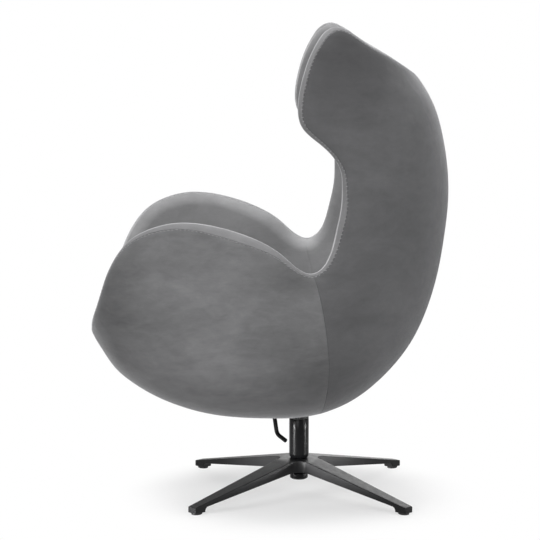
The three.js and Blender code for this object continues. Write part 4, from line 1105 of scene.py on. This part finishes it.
# Materials
class Maker:
    """Short hand for the node tree of a material or of the world"""

    def __init__(self, owner):
        owner.use_nodes = True
        self.owner = owner
        self.nodes, self.links = owner.node_tree.nodes, owner.node_tree.links

    def add(self, kind, inputs, **settings):
        node = self.nodes.new(kind)
        for key, value in settings.items():
            setattr(node, key, value)
        for key, value in inputs.items():
            self.put(value, node.inputs[key])
        return node

    def put(self, value, socket):
        if isinstance(value, bpy.types.NodeSocket):
            self.links.new(value, socket)
        else:
            socket.default_value = value

    def coords(self, scale=(1, 1, 1), turn=(0, 0, 0)):
        source = self.add("ShaderNodeTexCoord", {}).outputs["Object"]
        return self.add("ShaderNodeMapping", {"Vector": source, "Scale": scale, "Rotation": turn}).outputs[0]

    def noise(self, scale, detail, roughness, low=0, high=1, distortion=0, vector=None):
        """Noise between two values, at one scale or over its own stretched coordinates"""
        inputs = {
            "Vector": vector or self.coords(), "Scale": scale, "Detail": detail, "Roughness": roughness,
            "Distortion": distortion,
        }
        return self.spread(self.add("ShaderNodeTexNoise", inputs).outputs["Fac"], 0.3, 0.7, low, high)

    def spread(self, value, from_low, from_high, low, high, **settings):
        inputs = {
            "Value": value, "From Min": from_low, "From Max": from_high, "To Min": low, "To Max": high,
        }
        return self.add("ShaderNodeMapRange", inputs, **settings).outputs[0]

    def math(self, operation, *values):
        total = values[0]
        for value in values[1:]:
            total = self.add("ShaderNodeMath", {0: total, 1: value}, operation=operation).outputs[0]
        return total

    def times(self, *values):
        return self.math("MULTIPLY", *values)

    def plus(self, *values):
        return self.math("ADD", *values)

    def bump(self, height, strength, distance, under=None):
        inputs = {"Height": height, "Strength": strength, "Distance": distance}
        if under:
            inputs["Normal"] = under
        return self.add("ShaderNodeBump", inputs).outputs[0]

    def seen_directly(self):
        """One where the camera sees the surface itself or its reflection, none for the light it gives"""
        seen = self.add("ShaderNodeLightPath", {}).outputs
        return self.plus(seen["Is Camera Ray"], seen["Is Glossy Ray"], seen["Is Transmission Ray"])

    def surface(self, color, factor, roughness, normal, **more):
        """Fill in the main shader: the colour is made lighter or darker by a factor"""
        shade = self.add("ShaderNodeVectorMath", {0: color, "Scale": factor}, operation="SCALE").outputs[0]
        values = {"Base_Color": shade, "Roughness": roughness, "Normal": normal, **more}
        for name, value in values.items():
            self.put(value, self.nodes["Principled BSDF"].inputs[name.replace("_", " ")])
        return self.owner


def new_maker(name):
    return Maker(bpy.data.materials.new(name))


def velvet(name, color, patch):
    """Short-pile velvet: brushed patches, fine pile, soft folds and a sheen"""
    m = new_maker(name)
    tones = [m.noise(1500, 2, 0.6, 0.9, 1.1)]
    for share, detail, bend, scale, turn in (
        (1, 3, 0.9, (6, 6, 13), (0.15, 0, 0)),
        (0.6, 3, 0.5, (30, 26, 52), (-0.2, 0.1, 0)),
        (0.22, 2, 0.3, (70, 60, 230), (0.12, 0.05, 0)),
    ):
        low, high = 1 - patch * share, 1 + patch * share
        tones.append(m.noise(1, detail, 0.6, low, high, bend, m.coords(scale, turn)))
    # An attribute of the pieces makes the colour lighter or darker: partly brushed nap, partly painted light
    # and shade and a painted highlight on the rim's crest
    nap_and_light = m.add("ShaderNodeAttribute", {}, attribute_name="nap_and_light", attribute_type="GEOMETRY").outputs["Fac"]
    folds = m.bump(m.noise(16, 2, 0.5, distortion=0.4), 0.18, 0.004)
    weave = m.bump(m.noise(700, 3, 0.7), 0.22, 0.0006, folds)
    pile = m.bump(m.noise(2600, 1, 0.5), 0.25, 0.0003, weave)
    return m.surface(
        color, m.times(*tones, m.plus(nap_and_light, 1)), m.noise(60, 2, 0.5, 0.82, 0.98), pile,
        Sheen_Weight=0.4, Sheen_Roughness=0.38, Sheen_Tint=(0.93, 0.93, 0.95, 1), Specular_IOR_Level=0.12,
    )


def twisted_thread():
    m = new_maker("thread")
    relief = m.bump(m.noise(1, 1, 0.5, vector=m.coords((2500, 2500, 2500))), 0.3, 0.0003)
    return m.surface(
        (0.27, 0.27, 0.275), m.noise(900, 2, 0.5, 0.85, 1.15), m.noise(600, 2, 0.5, 0.6, 0.8), relief,
        Sheen_Weight=0.3, Sheen_Roughness=0.4,
    )


def coated(name, color, rough, grain, depth, level):
    """Paint or powder on metal, with fine texture and slight handling marks"""
    m = new_maker(name)
    marks = m.times(m.noise(35, 3, 0.6, 0.9, 1.12, 0.2), m.noise(grain, 2, 0.6, 0.94, 1.06))
    roughness = m.noise(90, 3, 0.6, rough * 0.9, rough * 1.12)
    relief = m.bump(m.noise(grain, 2, 0.6), 0.25, depth)
    return m.surface(color, marks, roughness, relief, Specular_IOR_Level=level)


def brushed(name, color, rough, around=(600, 600, 4)):
    """Machined or plated metal with fine lines"""
    m = new_maker(name)
    lines = m.coords(around)
    marks = m.times(m.noise(1, 2, 0.6, 0.9, 1.1, 0, lines), m.noise(40, 2, 0.5, 0.93, 1.05))
    roughness = m.noise(1, 2, 0.6, rough * 0.85, rough * 1.2, 0, lines)
    relief = m.bump(m.noise(1, 2, 0.6, vector=lines), 0.1, 0.0002)
    return m.surface(color, marks, roughness, relief, Metallic=1)


def plywood():
    m = new_maker("deck_plywood")
    grain = m.noise(1, 4, 0.6, 0.75, 1.15, 1.5, m.coords((60, 6, 60)))
    layers = {"Vector": m.coords(), "Scale": 105, "Distortion": 0.4}
    layers = m.add("ShaderNodeTexWave", layers, bands_direction="Z").outputs["Fac"]
    factor = m.times(grain, m.spread(layers, 0, 1, 0.8, 1.1))
    return m.surface((0.5, 0.34, 0.19), factor, m.noise(80, 2, 0.5, 0.55, 0.75), m.bump(grain, 0.2, 0.0004))


def fibreglass():
    m = new_maker("shell_fibreglass")
    strands = m.noise(1, 3, 0.6, 0.85, 1.1, 2, m.coords((240, 240, 60)))
    factor = m.times(strands, m.noise(30, 2, 0.5, 0.9, 1.08))
    return m.surface((0.5, 0.48, 0.38), factor, m.noise(70, 2, 0.5, 0.3, 0.5), m.bump(strands, 0.3, 0.0006))


outer_velvet = velvet("velvet_outer", (0.13, 0.13, 0.1325), 0.13)
# The back cover's velvet is darker: partly its nap running the other way, partly painted shade where the back
# turns away from the light
shaded_back_velvet = velvet("velvet_back_painted_shade", (0.09, 0.09, 0.0925), 0.09)
band_velvet = velvet("velvet_band", (0.16, 0.16, 0.163), 0.06)
# The lining's velvet is lighter than the outer cover's: painted light on the inside of the arms
lit_lining_velvet = velvet("velvet_lining_painted_light", (0.205, 0.205, 0.208), 0.08)
cushion_velvet = velvet("velvet_cushion", (0.18, 0.18, 0.183), 0.08)
satin_black = coated("satin_black", (0.009, 0.009, 0.0095), 0.46, 1500, 0.00012, 0.14)
gloss_black = coated("gloss_black", (0.003, 0.003, 0.0033), 0.25, 400, 0.00003, 0.09)
black_plastic = coated("moulded_black", (0.012, 0.012, 0.0125), 0.5, 900, 0.00015, 0.3)
thread = twisted_thread()
FINISH = {
    "moulded_shell": fibreglass(),
    "plywood": plywood(),
    "zinc_plated_steel": brushed("zinc_plate", (0.62, 0.63, 0.65), 0.32),
    "gloss_black_metal": gloss_black,
    "satin_black_metal": satin_black,
    "chromed_rod": brushed("ground_chrome", (0.8, 0.8, 0.82), 0.1),
    "aluminium_piston": brushed("turned_aluminium", (0.72, 0.73, 0.75), 0.3, (8, 8, 900)),
    "black_plastic": black_plastic,
    "velvet": outer_velvet,
    "padded_velvet": lit_lining_velvet,
}

# CAD nodes that stay get the finish of their slot
for row in frame["record"]["subparts"]:
    node = frame["nodes"][row["node"]]
    if not node.material_slots:
        node.data.materials.append(None)
    for place in node.material_slots:
        place.material = FINISH[row["material_slot"]]


def settle(piece, material, slot, body, *nodes):
    piece.data.materials.clear()
    piece.data.materials.append(material)
    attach(piece, body)
    if nodes:
        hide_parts(*nodes)


settle(cover_front, outer_velvet, "velvet", "seat", "outer_cover_front")
settle(cover_back, shaded_back_velvet, "velvet", "seat", "outer_cover_back")
settle(band, band_velvet, "velvet", "seat", "rim_band")
settle(lining, lit_lining_velvet, "padded_velvet", "seat", "inner_liner")
settle(cushion, cushion_velvet, "padded_velvet", "seat", "seat_cushion")
settle(piping, cushion_velvet, "padded_velvet", "seat")
settle(rim_stitches, thread, "velvet", "seat")
settle(base_star, satin_black, "satin_black_metal", "base", "base_hub")
for index, (leg, glide) in enumerate(zip(base_legs, glides), 1):
    settle(leg, satin_black, "satin_black_metal", "base", f"leg_{index}")
    settle(glide, black_plastic, "black_plastic", "base", f"glide_{index}")
settle(column, gloss_black, "gloss_black_metal", "base", "column_tube")
settle(collar, black_plastic, "black_plastic", "base", "column_collar")
settle(boss, gloss_black, "satin_black_metal", "base", "bottom_boss")
settle(cylinder, gloss_black, "gloss_black_metal", "seat", "gas_cylinder")
settle(lever, gloss_black, "gloss_black_metal", "lever", "lever_rod")

# Studio
FLOOR_HALF = 20
FLOOR_MATT = 0.45
FLOOR_GLOW = 0.46
FLOOR_CENTRE = (0.05, 0.067, 0)
FLOOR_FADE = (0.22, 0.44)
WORLD_GLOW = 0.42
WHITE = (1, 1, 1, 1)


def make_floor():
    """Floor that looks white, darker near the base, and gives the part less light than it shows"""
    mesh = bpy.data.meshes.new("studio_floor")
    corners = [(x * FLOOR_HALF, y * FLOOR_HALF, 0) for x, y in ((-1, -1), (1, -1), (1, 1), (-1, 1))]
    mesh.from_pydata(corners, [], [(0, 1, 2, 3)])
    floor = new_object("studio_floor", mesh)
    m = new_maker("studio_floor")
    m.nodes.remove(m.nodes["Principled BSDF"])
    matt = m.add("ShaderNodeBsdfDiffuse", {"Color": (*[FLOOR_MATT] * 3, 1)}).outputs[0]
    glow = m.add("ShaderNodeEmission", {"Color": WHITE, "Strength": FLOOR_GLOW}).outputs[0]
    white = m.add("ShaderNodeEmission", {"Color": WHITE, "Strength": 1}).outputs[0]
    bright = m.add("ShaderNodeAddShader", {0: matt, 1: glow}).outputs[0]
    away = {0: m.coords(), 1: FLOOR_CENTRE}
    away = m.add("ShaderNodeVectorMath", away, operation="DISTANCE").outputs["Value"]
    far = m.spread(away, *FLOOR_FADE, 0, 1, interpolation_type="SMOOTHSTEP")
    shown = m.add("ShaderNodeMixShader", {0: far, 1: bright, 2: white}).outputs[0]
    both = m.add("ShaderNodeMixShader", {0: m.seen_directly(), 1: matt, 2: shown}).outputs[0]
    m.put(both, m.nodes["Material Output"].inputs["Surface"])
    floor.data.materials.append(m.owner)


make_floor()

# Lights: name, place, aim, width and height, power, spread. The low strips stand just outside the
# view and show as two highlights along the column.
LIGHTS = [
    ("overhead", (0.1, -0.5, 3.4), (0, 0, 0.4), (2.6, 2.6), 115, 180),
    ("key", (3.3, -1.0, 1.0), (0, 0, 0.6), (1.6, 1.8), 62, 180),
    ("behind", (-3.3, 0.8, 1.5), (0, 0, 0.6), (1.8, 1.8), 42, 180),
    ("strip_back", (1.3, 2.25, 0.95), (0, 0, 0.6), (0.25, 1.9), 20, 180),
    ("low_front", (0.397, -0.569, 0.06), (0, 0.067, 0.06), (0.34, 0.11), 0.7, 24),
    ("low_back", (0.156, 0.801, 0.06), (0, 0.067, 0.06), (0.26, 0.11), 0.28, 24),
]
for name, place, aim, size, power, spread in LIGHTS:
    light = bpy.data.lights.new(name, "AREA")
    light.shape, light.energy, light.spread = "RECTANGLE", power, math.radians(spread)
    light.size, light.size_y = size
    lamp = new_object(name, light)
    lamp.location = place
    lamp.rotation_euler = (Vector(aim) - Vector(place)).to_track_quat("-Z", "Y").to_euler()
    lamp.visible_camera = False

world = bpy.data.worlds.new("studio")
bpy.context.scene.world = world
m = Maker(world)
background = m.nodes["Background"].inputs
m.put(WHITE, background["Color"])
m.put(m.spread(m.seen_directly(), 0, 1, WORLD_GLOW, 1), background["Strength"])

CAMERA_PLACE = (5.097, -0.0013, 1.228)
CAMERA_TILT = 7.76
CAMERA_LENS = 144.6
camera = new_object("camera", bpy.data.cameras.new("camera"))
camera.location = CAMERA_PLACE
camera.rotation_euler = np.radians([90 - CAMERA_TILT, 0, 90])
camera.data.lens, camera.data.sensor_width, camera.data.clip_end = CAMERA_LENS, 36, 100
bpy.context.scene.camera = camera
bpy.context.scene.view_settings.view_transform = "Standard"

bpy.context.view_layer.update()
